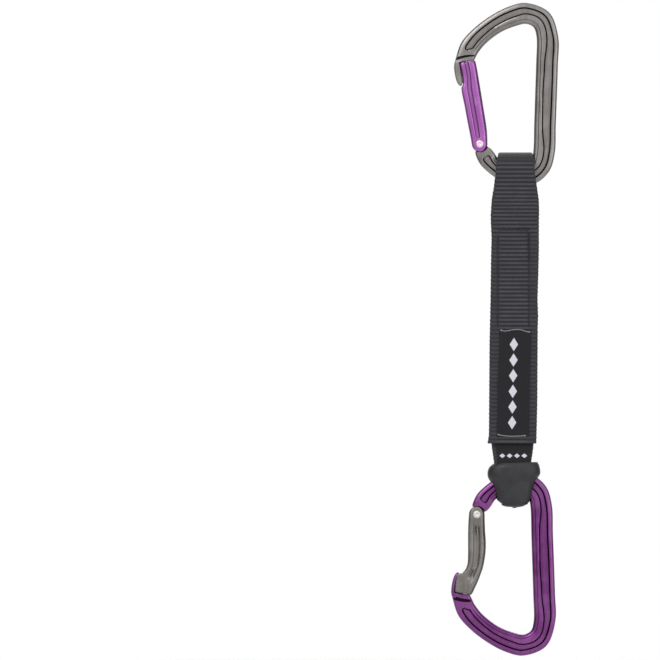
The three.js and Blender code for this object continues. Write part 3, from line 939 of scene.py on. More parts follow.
@dataclass
class Forging:
    """The hot-forged I-beam that both carabiners share, from its gate rivet.

    Stations hold the outer and the inner edge of the bar and how far the
    flanges reach in: tail, basket, spine, bow and nose.
    """

    stations: tuple = (
        (-2.7, -4.6, 5.25, -1.6, 3.2, 3.2), (0.0, -10.2, 7.4, -4.4, 2.3, 2.9),
        (3.5, -13.9, 9.6, -7.6, 2.3, 3.1),
        (11.0, -19.2, 14.6, -10.6, 2.3, 3.5), (20.0, -22.1, 20.6, -11.9, 2.4, 4.0),
        (29.3, -20.3, 24.6, -10.4, 2.6, 4.4), (36.1, -14.0, 27.0, -7.8, 2.6, 4.9),
        (38.9, -4.5, 27.8, -3.4, 2.6, 5.1), (39.4, 10.0, 28.2, 10.0, 2.5, 3.9),
        (40.0, 26.0, 28.7, 26.0, 2.4, 3.7),
        (40.5, 41.5, 29.2, 41.5, 2.4, 4.1), (40.7, 55.2, 29.4, 55.7, 2.4, 5.0),
        (35.9, 68.3, 27.8, 60.5, 2.5, 5.1), (24.0, 73.2, 24.0, 62.2, 2.5, 4.8),
        (15.3, 71.4, 19.0, 61.2, 2.5, 4.4), (6.0, 66.7, 11.1, 58.0, 2.4, 3.9),
        (-3.5, 59.5, 3.0, 51.9, 2.4, 3.5), (-9.8, 52.2, -1.1, 46.8, 2.8, 3.3),
        (-13.2, 41.72, -2.7, 43.66, 4.0, 4.0),
    )
    half_depth: float = 4.0
    floor: float = 2.35
    gutter: float = 1.75
    step_at: float = 2.1
    step_drop: float = 0.34
    pocket_from: float = 0.8
    pocket_to: float = 17.22
    pocket_slant: float = 0.4
    pocket_round: float = 0.26
    groove_at: float = 17.71
    groove_half: float = 0.075
    groove_drop: float = 1.1
    nose_face: float = 43.75
    shoulder: float = 4.55
    shoulder_spread: float = 5.6
    shoulder_end: float = 0.75
    steps: int = 7

    @property
    def last(self) -> float:
        """The station of the nose's end."""
        return float(len(self.stations) - 1)

    def edges(self, station: float) -> tuple[Point, Point, float, float]:
        """Both edges of the bar and its flanges at a station.

        Args:
            station: Where on the bar this is.

        Returns:
            The outer and the inner edge, and the outer and the inner flange's width.
        """
        rows = self.stations
        outer = curve_at([(r[0], r[1]) for r in rows], station)
        inner = curve_at([(r[2], r[3]) for r in rows], station)
        i = min(int(station), len(rows) - 2)
        share = ease(0, 1, station - i)
        flanges = [blend_between(rows[i][k], rows[i + 1][k], share) for k in (4, 5)]
        return outer, inner, flanges[0], flanges[1]

    def pocket_walls(self, station: float, low: float, high: float) -> tuple[float, float, float]:
        """Where the pocket's two walls stand at a station.

        Args:
            station: Where on the bar this is.
            low: Its inner wall on the open length.
            high: Its outer wall there.

        Returns:
            How far the pocket is open, 0 or 1 nearly, and its two walls.
        """
        nose = self.pocket_to - station
        inside = min(station - self.pocket_from, nose)
        reach = min(max(inside, 0.0) / self.pocket_round, 1.0)
        narrow = 0.22 * (high - low) * (1 - math.sqrt(1 - (1 - reach) ** 2))
        slant = min(max(1 - nose / self.pocket_slant, 0.0), 1.0) ** 1.5
        low_wall = low + narrow * (1 - slant) + (high - low - narrow - 1.3) * slant
        return ease(-0.014, 0.014, inside), low_wall, high - narrow

    def section(self, width: float, outer: float, inner: float, station: float) -> list[Spot]:
        """The front half of the bar's section, from its inner edge outwards.

        Args:
            width: Width of the bar here.
            outer: How far its outer flange reaches in.
            inner: How far its inner flange reaches out.
            station: Where on the bar this is.

        Returns:
            The section's points, with depth as a distance from the middle.
        """
        top = self.half_depth
        is_open, low_wall, high_wall = self.pocket_walls(station, inner, width - outer)
        merge = ease(17.2, 17.6, station)
        middle = (low_wall + high_wall) / 2
        fit = min(1.0, (high_wall - low_wall) / 2.4)
        step_share = ease(1.0, 2.0, station) * (1 - ease(16.6, 17.4, station))
        step = self.step_drop * step_share

        def sunk(depth: float) -> float:
            """Depth of a pocket point, level with the flanges where it ends."""
            return blend_between(top, depth, is_open)

        # Third values are painted shade: darker along the inner edge, in the flange's step, and down the
        # pocket's walls, gutters and floor.
        spots = [
            Spot(0.0, 0.9, 0.5), Spot(0.1, 2.0, 0.5), Spot(0.4, 2.85, 0.38),
            Spot(0.95, top - 0.25 - step, 0.06),
            Spot(self.step_at - 0.35, top - 0.04 - step),
            Spot(self.step_at, top - step - 0.03, 0.55 * step_share),
            Spot(self.step_at + 0.28, top - 0.08, 0.3 * step_share), Spot(self.step_at + 0.55, top),
            Spot(low_wall - 0.22, top), Spot(low_wall - 0.02, sunk(top - 0.14), 0.3 * is_open),
            Spot(low_wall + 0.08, sunk(self.floor), is_open),
            Spot(low_wall + 0.34 * fit, sunk(self.gutter), is_open),
            Spot(low_wall + 0.62 * fit, sunk(self.floor - 0.1), 0.28 * is_open),
            Spot(middle, sunk(self.floor + 0.06), 0.12 * is_open),
            Spot(high_wall - 0.68 * fit, sunk(self.floor - 0.1), 0.3 * is_open),
            Spot(high_wall - 0.38 * fit, sunk(self.gutter), is_open),
            Spot(high_wall - 0.08, sunk(self.floor), is_open),
            Spot(high_wall + 0.02, sunk(top - 0.14), 0.3 * is_open), Spot(high_wall + 0.22, top),
            Spot(width - 0.95, top - 0.05), Spot(width - 0.45, top - 0.4 + 0.1 * merge),
            Spot(width - 0.12, top - 1.0), Spot(width, top - 2.0), Spot(width, 0.9),
        ]
        reach = abs(station - self.groove_at) / self.groove_half
        if reach < 1.6:
            cut = 1 - ease(0.5, 1.3, reach)
            spots = [self.grooved(spot, cut, width) if spot.depth > 2.2 else spot for spot in spots]
        return spots

    def grooved(self, spot: Spot, cut: float, width: float) -> Spot:
        """Sinks a point of the section where the nose's groove crosses it, and gives it painted shade.

        Args:
            spot: The point.
            cut: How deep the groove is at this station, from 0 to 1.
            width: Width of the bar here.

        Returns:
            The sunk point.
        """
        share = cut * ease(1.0, 2.0, spot.across) * (1 - ease(width - 1.2, width - 0.3, spot.across))
        # Painted shade in the groove, as strong as the cut is deep.
        painted_shade = max(spot.painted_shade, min(1.0, 1.2 * share))
        return Spot(spot.across, spot.depth - self.groove_drop * share, painted_shade)

    def station_list(self) -> list[float]:
        """Every station that gets a ring, closer where the section changes.

        Returns:
            The stations in order.
        """
        found = {k / self.steps for k in range(int(self.last) * self.steps + 1)}
        near_an_end = (-0.035, -0.018, -0.006, 0.006, 0.02, 0.04, 0.07, 0.11, 0.16, 0.22, 0.34)
        for end, way in ((self.pocket_from, 1), (self.pocket_to, -1)):
            found |= {end + way * gap for gap in near_an_end}
        found |= {self.groove_at + self.groove_half * k / 3 for k in range(-5, 6)}
        return sorted(found)

    def rings(self, place: Placer) -> list[Ring]:
        """The bar's rings.

        Args:
            place: Turns local x, y and z into a point in metres.

        Returns:
            The rings, tail first and the ledge last.
        """
        found = []
        for station in self.station_list():
            outer, inner, out_flange, in_flange = self.edges(station)
            width = math.dist(outer, inner)
            front = self.section(width, out_flange, in_flange, station)
            points, painted_shade = [], []
            for spot, side in both_faces(front):
                share = spot.across / width
                x, z = self.round_the_hinge(*point_between(inner, outer, share), share, station)
                x, z = self.face_the_gate(x, z, share, station)
                points.append(place(x, side * spot.depth, z))
                painted_shade.append(spot.painted_shade)
            found.append(Ring(points, painted_shade, station))
        return found + self.ledge(place)

    def plain_rings(self, place: Placer, clearance: float) -> list[Ring]:
        """A plain bar from basket to spine, with room round the real one.

        Args:
            place: Turns local x, y and z into a point in metres.
            clearance: How far it stands off the real bar.

        Returns:
            The rings.
        """
        found = []
        for station in [k / 4 for k in range(8, 29)]:
            outer, inner, _, _ = self.edges(station)
            width = math.dist(outer, inner)
            far, top = width + clearance, self.half_depth + clearance
            front = [Spot(-clearance, 1.4), Spot(0.4 - clearance, top - 1.1), Spot(1.3, top),
                     Spot(far - 1.6, top), Spot(far - 0.4, top - 1.1), Spot(far, 1.4)]
            points = []
            for spot, side in both_faces(front):
                x, z = point_between(inner, outer, spot.across / width)
                points.append(place(x, side * spot.depth, z))
            found.append(Ring(points, [0.0] * len(points), station))
        return found

    def face_the_gate(self, x: float, z: float, share: float, station: float) -> Point:
        """Tilts the nose's groove, and bends its end to a circle about the rivet.

        Args:
            x: Where a point of the bar lies, across.
            z: Where it lies, up.
            share: How far it is from the inner edge to the outer one.
            station: Where on the bar it is.

        Returns:
            Where the point goes.
        """
        tilt = ease(17.0, 17.6, station) * (1 - ease(17.78, self.last, station))
        rise = tilt * (1.0 - 2.0 * share + 2.0 * share * (1 - share))
        x, z = x + rise * blend_between(0.5, 0.27, share), z + rise
        pull = ease(17.3, self.last, station)
        if not pull:
            return x, z
        outer, inner, _, _ = self.edges(self.last)
        reach = pull * (self.nose_face - math.hypot(*point_between(inner, outer, share)))
        grow = 1 + reach / math.hypot(x, z)
        return x * grow + 0.5 * reach, z * grow

    def ledge(self, place: Placer) -> list[Ring]:
        """The thin ledge that closes the gap between the nose and the gate, painted dark as the shadow in
        that gap.

        Args:
            place: Turns local x, y and z into a point in metres.

        Returns:
            Its two rings.
        """
        outer, inner, out_flange, in_flange = self.edges(self.last)
        width = math.dist(outer, inner)
        front = self.section(width, out_flange, in_flange, self.last)
        found = []
        for shrink, radius in ((0.8, self.nose_face), (0.78, self.nose_face - 0.28)):
            points = []
            for spot, side in both_faces(front):
                share = 0.5 + (spot.across / width - 0.5) * 0.96
                x, z = self.face_the_gate(*point_between(inner, outer, share), share, self.last)
                scale = radius / math.hypot(x, z)
                points.append(place(x * scale, side * spot.depth * shrink, z * scale))
            # Painted shadow: the whole ledge is dark.
            found.append(Ring(points, [0.9] * len(points), self.last))
        return found

    def round_the_hinge(self, x: float, z: float, share: float, station: float) -> Point:
        """Bends the tail's end to the circle that the gate turns in.

        Args:
            x: Where a point of the bar lies, across.
            z: Where it lies, up.
            share: How far it is from the inner edge to the outer one.
            station: Where on the bar it is.

        Returns:
            Where the point goes.
        """
        reach = ease(0.0, self.shoulder_end, station)
        pull = 1 - reach
        if not pull:
            return x, z
        outer_x, outer_z, inner_x, inner_z = self.stations[0][:4]
        angle = blend_between(math.atan2(inner_z, inner_x), math.atan2(outer_z, outer_x), share)
        radius = blend_between(self.shoulder, self.shoulder_spread, reach)
        return (
            blend_between(x, radius * math.cos(angle), pull),
            blend_between(z, radius * math.sin(angle), pull),
        )


@dataclass
class Gate:
    """One gate: a leaning bar with a fork at its rivet and a keyed tip."""

    style: GateStyle
    lean: float = math.radians(8.8)
    half_depth: float = 4.0
    hinge_radius: float = 4.1
    section_width: float = 9.2
    rim: float = 2.1
    tip_start: float = 0.97
    least_width: float = 4.0
    foot_steps: int = 9
    body_steps: int = 64
    straight_spine: Outline = ((4.1, 0.0), (4.5, 3.0), (4.8, 8.0), (4.8, 15.0), (4.7, 30.0), (4.6, 38.2),
                               (4.35, 43.18))
    straight_outer: Outline = ((-4.1, 0.0), (-4.2, 5.0), (-4.45, 10.0), (-4.75, 20.0), (-4.9, 30.3),
                               (-3.96, 31.6), (-3.96, 43.22))
    bent_spine: Outline = ((4.1, 0.0), (4.15, 4.0), (4.25, 8.1), (4.65, 14.8), (4.4, 20.6), (3.6, 25.6),
                           (3.0, 28.2), (2.5, 29.6), (2.1, 30.7), (1.3, 32.9), (-0.35, 36.8), (-2.75, 41.8))
    bent_outer: Outline = ((-4.1, 0.0), (-4.4, 4.0), (-4.55, 8.0), (-4.6, 15.0), (-4.6, 20.6), (-4.85, 25.4),
                           (-5.9, 28.4), (-7.7, 30.4), (-10.4, 30.9), (-11.15, 32.4), (-11.7, 36.2),
                           (-12.1, 40.1))

    @property
    def own_lean(self) -> float:
        """How far the outline is turned: the bent one is drawn as it stands."""
        return self.lean if self.style is GateStyle.STRAIGHT else 0.0

    def edges_at(self, share: float) -> tuple[Point, Point]:
        """Both edges of the gate at a height.

        Args:
            share: How far up from the rivet to the tip, from 0 to 1.

        Returns:
            The edge on the spine's side and the outer one.
        """
        if self.style is GateStyle.STRAIGHT:
            outlines = self.straight_spine, self.straight_outer
        else:
            outlines = self.bent_spine, self.bent_outer
        spine, outer = [swung(*curve_at(line, share * (len(line) - 1)), self.own_lean) for line in outlines]
        return spine, outer

    def section(self, share: float, bulk: float) -> list[Spot]:
        """The front half of the gate's section, from its outer edge inwards.

        Args:
            share: How far up the gate this is.
            bulk: 1 on the gate's length, less where its tip rounds off.

        Returns:
            The section's points.
        """
        top = self.half_depth * bulk
        # Third values are painted shade: down the groove of a straight gate, down the dish of a bent one, and
        # along the edge on the spine's side.
        if self.style is GateStyle.STRAIGHT:
            cut = ease(0.11, 0.17, share)
            bed = 0.95 * cut
            return [
                Spot(0.0, 0.8, 0.1), Spot(0.04, top - 1.4), Spot(0.2, top - 0.7), Spot(0.55, top - 0.28),
                Spot(1.0, top - 0.1), Spot(1.9, top), Spot(2.72, top - 0.03),
                Spot(2.86, top - 0.15 * cut, 0.3 * cut), Spot(3.02, top - bed, 0.75 * cut),
                Spot(3.3, top - bed, 0.35 * cut), Spot(3.95, top - 0.8 * cut, 0.14 * cut),
                Spot(4.6, top - bed, 0.35 * cut), Spot(4.88, top - bed, 0.75 * cut),
                Spot(5.04, top - 0.15 * cut, 0.3 * cut), Spot(5.18, top - 0.03), Spot(6.5, top),
                Spot(7.7, top - 0.12), Spot(8.3, top - 0.45, 0.2), Spot(8.72, top - 1.0, 0.5),
                Spot(9.05, top - 1.9, 0.6), Spot(self.section_width, 0.8, 0.6),
            ]
        dish = ease(0.1, 0.16, share) * (1 - ease(0.76, 0.93, share))
        ridge = 0.3 * (ease(0.1, 0.14, share) * (1 - ease(0.2, 0.26, share))
                       + ease(0.45, 0.58, share) * (1 - ease(0.8, 0.9, share)))
        return [
            Spot(0.0, 0.8), Spot(0.05, top - 1.5), Spot(0.25, top - 0.75), Spot(0.7, top - 0.22),
            Spot(1.3, top), Spot(self.rim, top - 0.04), Spot(2.6, top - 0.25 * dish, 0.14 * dish),
            Spot(3.0, top - 0.6 * dish, 0.34 * dish), Spot(3.5, top - 0.8 * dish, 0.36 * dish),
            Spot(3.95, top - 0.85 * dish + ridge), Spot(4.35, top - 0.9 * dish, 0.42 * dish),
            Spot(4.85, top - 0.9 * dish + ridge), Spot(5.4, top - 0.84 * dish, 0.4 * dish),
            Spot(5.9, top - 0.62 * dish, 0.44 * dish), Spot(6.3, top - 0.2 * dish, 0.22 * dish),
            Spot(6.7, top),
            Spot(7.5, top - 0.06), Spot(8.15, top - 0.42, 0.2), Spot(8.7, top - 1.0, 0.55),
            Spot(9.08, top - 1.9, 0.65), Spot(self.section_width, 0.8, 0.6),
        ]

    def rings(self, place: Placer) -> list[Ring]:
        """The gate's rings, from the foot of its round end to its tip.

        Args:
            place: Turns local x, y and z into a point in metres.

        Returns:
            The rings.
        """
        found = []
        for k in range(self.foot_steps):
            angle = math.radians(blend_between(-88.0, 0.0, k / self.foot_steps))
            reach = self.hinge_radius * math.cos(angle)
            low = self.hinge_radius * math.sin(angle)
            ends = [swung(u, low, self.own_lean) for u in (reach, -reach)]
            bulk = min(1.0, 0.86 + 0.14 * math.cos(angle) ** 0.5)
            found.append(self.ring(place, ends[0], ends[1], 0.0, bulk))
        shares = [k / self.body_steps for k in range(self.body_steps + 1)]
        shares += [0.11, 0.13, 0.15, 0.17, 0.62, 0.635, 0.65, 0.665, 0.68, 0.695, 0.71, 0.725, 0.985, 0.995]
        for share in sorted(set(shares)):
            spine, outer = self.edges_at(share)
            shrink = max(share - self.tip_start, 0) / (1 - self.tip_start)
            bulk = 1 - 0.12 * shrink ** 3
            pinch = 0.03 * shrink ** 4
            ends = [point_between(spine, outer, pinch), point_between(outer, spine, pinch)]
            found.append(self.ring(place, ends[0], ends[1], share, bulk))
        return found

    def ring(self, place: Placer, spine: Point, outer: Point, share: float, bulk: float) -> Ring:
        """One ring of the gate.

        Args:
            place: Turns local x, y and z into a point in metres.
            spine: Its edge on the spine's side.
            outer: Its edge on the outer side.
            share: How far up the gate it is.
            bulk: Scale on its depth.

        Returns:
            The ring.
        """
        width = math.dist(spine, outer)
        points, painted_shade = [], []
        for spot, side in both_faces(self.section(share, bulk)):
            x, z = point_between(outer, spine, self.part_across(spot, width))
            points.append(place(x, side * spot.depth, z))
            # Painted shade, only where the gate is wider than least_width.
            painted_shade.append(spot.painted_shade if width > self.least_width else 0.0)
        return Ring(points, painted_shade, share)

    def part_across(self, spot: Spot, width: float) -> float:
        """Where a point of the section lies on a gate of another width.

        Args:
            spot: The point.
            width: Width of the gate here.

        Returns:
            Its share of the way in from the outer edge. A bent gate that is wider
            than its section widens between its rim and its dish.
        """
        if self.style is GateStyle.STRAIGHT:
            return spot.across / self.section_width
        if spot.across < self.rim:
            return spot.across / max(width, self.section_width)
        away = (self.section_width - spot.across) * min(1.0, width / self.section_width)
        return 1 - away / width


@dataclass
class Carabiner:
    """One carabiner with its frame, gate and rivet, placed by its rivet node."""

    prefix: str
    frame_finish: str
    gate_finish: str
    rivet_finish: str
    gate: Gate
    upside_down: bool
    forging: Forging = field(default_factory=Forging)
    lip_outer: Outline = ((-6.14, 44.33), (-6.4, 43.8), (-6.68, 43.2), (-6.93, 42.2), (-7.12, 41.2),
                          (-7.25, 39.8), (-7.25, 37.4), (-7.1, 35.2), (-6.75, 33.4), (-6.1, 31.9),
                          (-5.5, 31.25))
    lip_inner: Outline = ((-4.0, 44.33), (-4.03, 43.8), (-4.05, 43.2), (-4.07, 42.2), (-4.08, 41.2),
                          (-4.08, 39.8), (-4.08, 37.4), (-4.08, 35.2), (-4.08, 33.4), (-4.2, 31.9),
                          (-4.7, 31.25))
    lip_depth: float = 3.96
    lip_steps: int = 4
    pivot: Vector = field(init=False)

    def __post_init__(self) -> None:
        """Finds the rivet's middle, which everything here is measured from."""
        low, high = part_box(f"{self.prefix}_gate_rivet")
        self.pivot = (low + high) / 2

    def place(self, x: float, y: float, z: float) -> Vector:
        """Turns a point measured from the rivet into one in the row frame."""
        flip = -1.0 if self.upside_down else 1.0
        return self.pivot + Vector((x, y * flip, z * flip)) * MM

    def matrix(self, lean: float) -> Matrix:
        """The rivet's frame, leaned about Y."""
        turn = Matrix.Rotation(math.pi, 4, "X") if self.upside_down else Matrix.Identity(4)
        return Matrix.Translation(self.pivot) @ turn @ Matrix.Rotation(-lean, 4, "Y")

    def leaned(self, corner: Point, depth: float) -> Vector:
        """Turns a corner in the closed gate's plane into the row frame."""
        x, z = swung(*corner, self.gate.lean)
        return self.place(x, depth, z)

    def build_frame(self, shop: Workshop) -> None:
        """The forged bar with its nose finger, key and hinge tongue.

        Args:
            shop: Where the piece is dressed and fixed.
        """
        bm = bmesh.new()
        sweep(bm, self.forging.rings(self.place))
        sweep(bm, self.lip_rings())
        bevelled_plate(bm, ((-0.7, 44.9), (-0.7, 33.0), (-4.8, 33.0), (-4.8, 44.9)), 2.2, 0.25, self.leaned)
        bevelled_plate(bm, ((-0.7, 36.4), (-0.7, 32.7), (-4.8, 32.7), (-4.8, 36.4)), 4.2, 0.35, self.leaned)
        tongue = arc((0, 0), 3.5, 40, 205, 14) + [(0.6, -7.3), (5.6, -4.9), (3.9, -1.2), (3.3, 1.2)]
        bevelled_plate(bm, tongue, 2.8, 0.2, lambda corner, depth: self.place(corner[0], depth, corner[1]))
        piece = to_object(bm, f"{self.prefix}_forged_frame", 35)
        shop.fix(piece, f"{self.prefix}_carabiner", self.frame_finish, f"{self.prefix}_frame")

    def lip_rings(self) -> list[Ring]:
        """The lip that runs on from the nose and stands in front of the gate.

        Returns:
            Its rings, top first.
        """
        cheeks = self.gate.style is GateStyle.BENT
        found = []
        for k in range((len(self.lip_outer) - 1) * self.lip_steps + 1):
            station = k / self.lip_steps
            outer, inner = curve_at(self.lip_outer, station), curve_at(self.lip_inner, station)
            width = math.dist(outer, inner)
            bulk = 1 - 0.16 * ease(8.4, 10.0, station) ** 2
            under = 2.3 if cheeks and outer[1] < 43.4 else self.lip_depth
            # Third values are painted shade along the lip's inner edge and, on a bent gate's cheeks, at their
            # step.
            front = [
                Spot(0.0, under - 1.1, 0.4), Spot(0.05, under - 0.4, 0.4), Spot(0.25, under - 0.08, 0.25),
                Spot(0.6, under), Spot(max(width - 1.5, 0.7), under, 0.3 if cheeks else 0.0),
                Spot(max(width - 1.42, 0.75), 3.94), Spot(max(width - 0.95, 0.9), self.lip_depth),
                Spot(max(width - 0.45, 1.0), 3.71), Spot(width - 0.12, 3.01), Spot(width, 1.95),
                Spot(width, 0.9),
            ]
            points, painted_shade = [], []
            for spot, side in both_faces(front):
                corner = point_between(inner, outer, min(spot.across / width, 1.0))
                points.append(self.leaned(corner, side * spot.depth * bulk))
                painted_shade.append(spot.painted_shade)
            found.append(Ring(points, painted_shade, station))
        return found

    def build_gate(self, shop: Workshop) -> None:
        """The gate bar, cut for the hinge tongue and the keyed nose.

        Args:
            shop: Where the piece is dressed and fixed.
        """
        bm = bmesh.new()
        sweep(bm, self.gate.rings(self.place))
        piece = to_object(bm, f"{self.prefix}_gate_bar", 35)
        along = self.matrix(self.gate.lean)
        bore = self.matrix(self.gate.own_lean)
        cutters = [
            box_cutter((-9, -1.75, -9), (9, 1.75, 5), bore),
            box_cutter((-12, -1.55, 31.8), (0.1, 1.55, 50), along),
            box_cutter((-12.2, -2.55, 31.5), (0.2, 2.55, 37.1), along),
        ]
        if self.gate.style is GateStyle.BENT:
            cutters.append(box_cutter((-12.4, -2.5, 29.0), (-3.7, 2.5, 50.2), along))
        cut_away(piece, cutters)
        shop.fix(piece, f"{self.prefix}_gate_body", self.gate_finish, f"{self.prefix}_gate")

    def build_rivet(self, shop: Workshop) -> None:
        """The rivet, its two heads dimpled where they were pressed over.

        Args:
            shop: Where the piece is dressed and fixed.
        """
        bm = bmesh.new()
        head = [(0.0, 4.3), (0.4, 4.32), (0.62, 4.42), (1.0, 4.5), (1.5, 4.46), (1.85, 4.3), (2.03, 4.12),
                (2.03, 4.0), (1.5, 3.9)]
        profile = head + [(r, -y) for r, y in reversed(head)]
        turned(bm, profile, self.place(0, 0, 0), 40)
        piece = to_object(bm, f"{self.prefix}_rivet_pin", 50)
        shop.fix(piece, f"{self.prefix}_gate_body", self.rivet_finish, f"{self.prefix}_gate_rivet")

    def build(self, shop: Workshop) -> None:
        """Builds every piece of this carabiner.

        Args:
            shop: Where the pieces are dressed and fixed.
        """
        self.build_frame(shop)
        self.build_gate(shop)
        self.build_rivet(shop)
        shop.keep(f"{self.prefix}_gate_spring", "spring_steel")
        shop.keep(f"{self.prefix}_gate_plunger", "acetal")


# -------------------------------------------------------------------- sling


@dataclass
class Sling:
    """The sewn sling: wide webbing, narrow strap, labels, thread and keeper."""

    rib: float = 2.1
    rib_height: float = 0.16
    rib_samples: int = 6
    web_thick: float = 1.7
    web_y: float = 2.8
    web_foot: float = -217.4
    eye_radius: float = 9.3
    eye_z: float = -76.75
    web_left: Outline = ((-12.9, -66.3), (-14.2, -67.3), (-14.9, -70.3), (-15.7, -75.1), (-16.0, -80.0),
                         (-16.5, -84.6), (-17.6, -90.8), (-18.2, -98.8), (-18.1, -104.0), (-17.75, -110.8),
                         (-18.0, -120.0), (-18.3, -143.0), (-18.8, -165.0), (-19.1, -210.0),
                         (-19.15, -213.0), (-19.75, -216.8))
    web_right: Outline = ((2.2, -66.4), (3.2, -67.4), (3.8, -70.3), (4.0, -75.1), (4.8, -81.0), (5.4, -84.6),
                          (6.35, -91.1), (6.6, -95.9), (6.5, -104.8), (6.5, -116.7), (6.25, -128.6),
                          (5.8, -143.0), (6.1, -151.0), (5.9, -158.0), (5.7, -195.0), (5.3, -213.0),
                          (5.15, -217.0))
    seam_x: tuple[float, float] = (-14.5, 1.4)
    seam_depth: tuple[float, float] = (0.14, 0.6)
    sewn_from: float = -104.0
    sewn_to: float = -158.0
    top_row: float = -106.4
    strap_thick: float = 1.4
    strap_y: float = 0.9
    loop_y: float = 6.05
    loop_foot: float = -240.9
    strap_left: Outline = ((-17.8, -112.0), (-17.7, -219.0), (-16.6, -226.0), (-16.0, -232.0),
                           (-13.2, -240.0), (-13.2, -250.0))
    strap_right: Outline = ((3.8, -112.0), (3.7, -219.0), (2.6, -226.0), (2.2, -232.0), (0.1, -240.0),
                            (0.1, -250.0))
    tape_left: Outline = ((-16.2, -217.0), (-15.9, -219.0), (-15.2, -224.0), (-15.1, -229.5))
    tape_right: Outline = ((3.3, -217.0), (3.1, -219.0), (2.2, -224.0), (2.0, -229.5))

    def ribbed_band(
        self, name: str, path: Sequence[Point], left: Sequence[Point], right: Sequence[Point], thick: float,
        rib_height: float, inside: float, hem: bool
    ) -> bpy.types.Object:
        """A woven band bent along a side-view path, with real cross ribs.

        Args:
            name: The piece's name.
            path: Side view of its middle, as (y, z) points.
            left: Its left edge, as (x, z) points from the top down.
            right: Its right edge, in the same way.
            thick: Its thickness without the ribs.
            rib_height: Height of a rib.
            inside: +1 where the left of the path is the outside.
            hem: Whether its two ends have a folded, thicker hem.

        Returns:
            The band.
        """
        bm = bmesh.new()
        rings = []
        steps = resample(path, self.rib / self.rib_samples)
        length = steps[-1][2]
        spans = (0.0, 0.012, 0.05, 0.1, 0.132, 0.15, 0.168, 0.2, 0.28, 0.36, 0.44, 0.5, 0.56, 0.64, 0.7,
                 0.76, 0.782, 0.8, 0.818, 0.84, 0.89, 0.95, 0.988, 1.0)
        for (y, z), (dy, dz), along in steps:
            phase = along / self.rib
            wave = (0.5 - 0.5 * math.cos(math.tau * phase)) ** 0.7
            number = math.floor(phase)
            uneven = 0.5 + 0.5 * math.sin(number * 2.4) * math.sin(number * 0.7 + 1)
            x_left = height_lookup(left, z) - 0.22 * wave * (0.6 + 0.4 * uneven)
            x_right = height_lookup(right, z) + 0.22 * wave * (0.6 + 0.4 * uneven)
            near_end = min(along, length - along)
            hem_share = (1 - ease(3.6, 4.4, near_end)) if hem else 0.0
            bulge = thick / 2 + 0.12 * hem_share
            height = rib_height * (1 + 0.5 * hem_share)
            smooth_top = ease(self.eye_z + 2.5, self.eye_z + 6.5, z) if hem else 0.0
            below_seam = (1 - ease(-112.0, -104.0, z)) if hem else 0.0
            points, painted_shade, across, calm = [], [], [], []
            for side, line in ((1.0, spans), (-1.0, tuple(reversed(spans)))):
                for s in line:
                    edge = min(s, 1 - s)
                    thin = 0.45 + 0.55 * ease(0.0, 0.035, edge)
                    x = blend_between(x_left, x_right, s)
                    quiet = max(0.94 * smooth_top, 0.0 if hem else 0.7,
                                0.65 * below_seam * (1 - ease(0.16, 0.24, edge)),
                                0.5 * (1 - ease(0.02, 0.09, edge)))
                    dent = self.seam_dent(x, z) if hem else 0.0
                    reach = side * inside * (bulge * thin - dent + height * wave * (1 - 0.7 * quiet))
                    points.append(Vector((x, y - dz * reach, z + dy * reach)) * MM)
                    # Painted shade in the seams' dents, along both edges, and over the eye's smooth top.
                    at_edge = 1 - ease(0.004, 0.04, edge)
                    painted_shade.append(min(1.0, dent * 2.2 + 0.55 * at_edge + 0.35 * smooth_top))
                    across.append(x)
                    calm.append(quiet)
            rings.append(Ring(points, painted_shade, along, across, calm))
        sweep(bm, rings)
        return to_object(bm, name, 60)

    def seam_dent(self, x: float, z: float) -> float:
        """How deep the seams pull the webbing in.

        Args:
            x: Where on the webbing, across.
            z: Where on it, up.

        Returns:
            The depth in millimetres.
        """
        if not self.sewn_to <= z <= self.sewn_from:
            return 0.0
        dent = 0.0
        for seam, deep in zip(self.seam_x, self.seam_depth):
            strong = blend_between(0.14, deep, ease(-124.0, -121.0, z)) * (1 - ease(-108.8, -107.8, z))
            dent = max(dent, strong * (1 - ease(0.35, 0.9, abs(x - seam))))
        if self.seam_x[0] < x < self.seam_x[1]:
            dent = max(dent, 0.3 * (1 - ease(0.5, 1.0, abs(z - self.top_row))))
        return dent

    def build_webbing(self, shop: Workshop) -> None:
        """The 25 mm webbing, folded over the upper bar.

        Args:
            shop: Where the piece is dressed and fixed.
        """
        r = self.eye_radius
        front = [(-self.web_y, self.web_foot)]
        front += bezier(((-self.web_y, -103.5), (-self.web_y, -92), (-r, -91), (-r, self.eye_z)), 24)
        over = arc((0, self.eye_z), r, 180, 0, 40)[1:-1]
        path = front + over + [(-y, z) for y, z in reversed(front)]
        piece = self.ribbed_band("ribbed_webbing", path, self.web_left, self.web_right, self.web_thick,
                                 self.rib_height, 1.0, True)
        shop.fix(piece, "sling", "nylon_webbing", "sling_webbing")

    def strap_path(self) -> list[Point]:
        """Side view of the narrow strap's middle.

        Returns:
            Its (y, z) points, from the front tail to the back one.
        """
        y, loop = self.strap_y, self.loop_y
        front = [(-y, -112.0)] + bezier(((-y, -216.8), (-y, -222.6), (-loop, -223.4), (-loop, -231.4)), 16)
        under = arc((0, self.loop_foot), loop, 180, 360, 28)
        return front + under + [(-a, z) for a, z in reversed(front)]

    def build_strap(self, shop: Workshop) -> None:
        """The narrow strap that carries the lower carabiner.

        Args:
            shop: Where the piece is dressed and fixed.
        """
        piece = self.ribbed_band("ribbed_strap", self.strap_path(), self.strap_left, self.strap_right,
                                 self.strap_thick, 0.07, 1.0, False)
        shop.fix(piece, "sling", "nylon_webbing", "lower_strap")

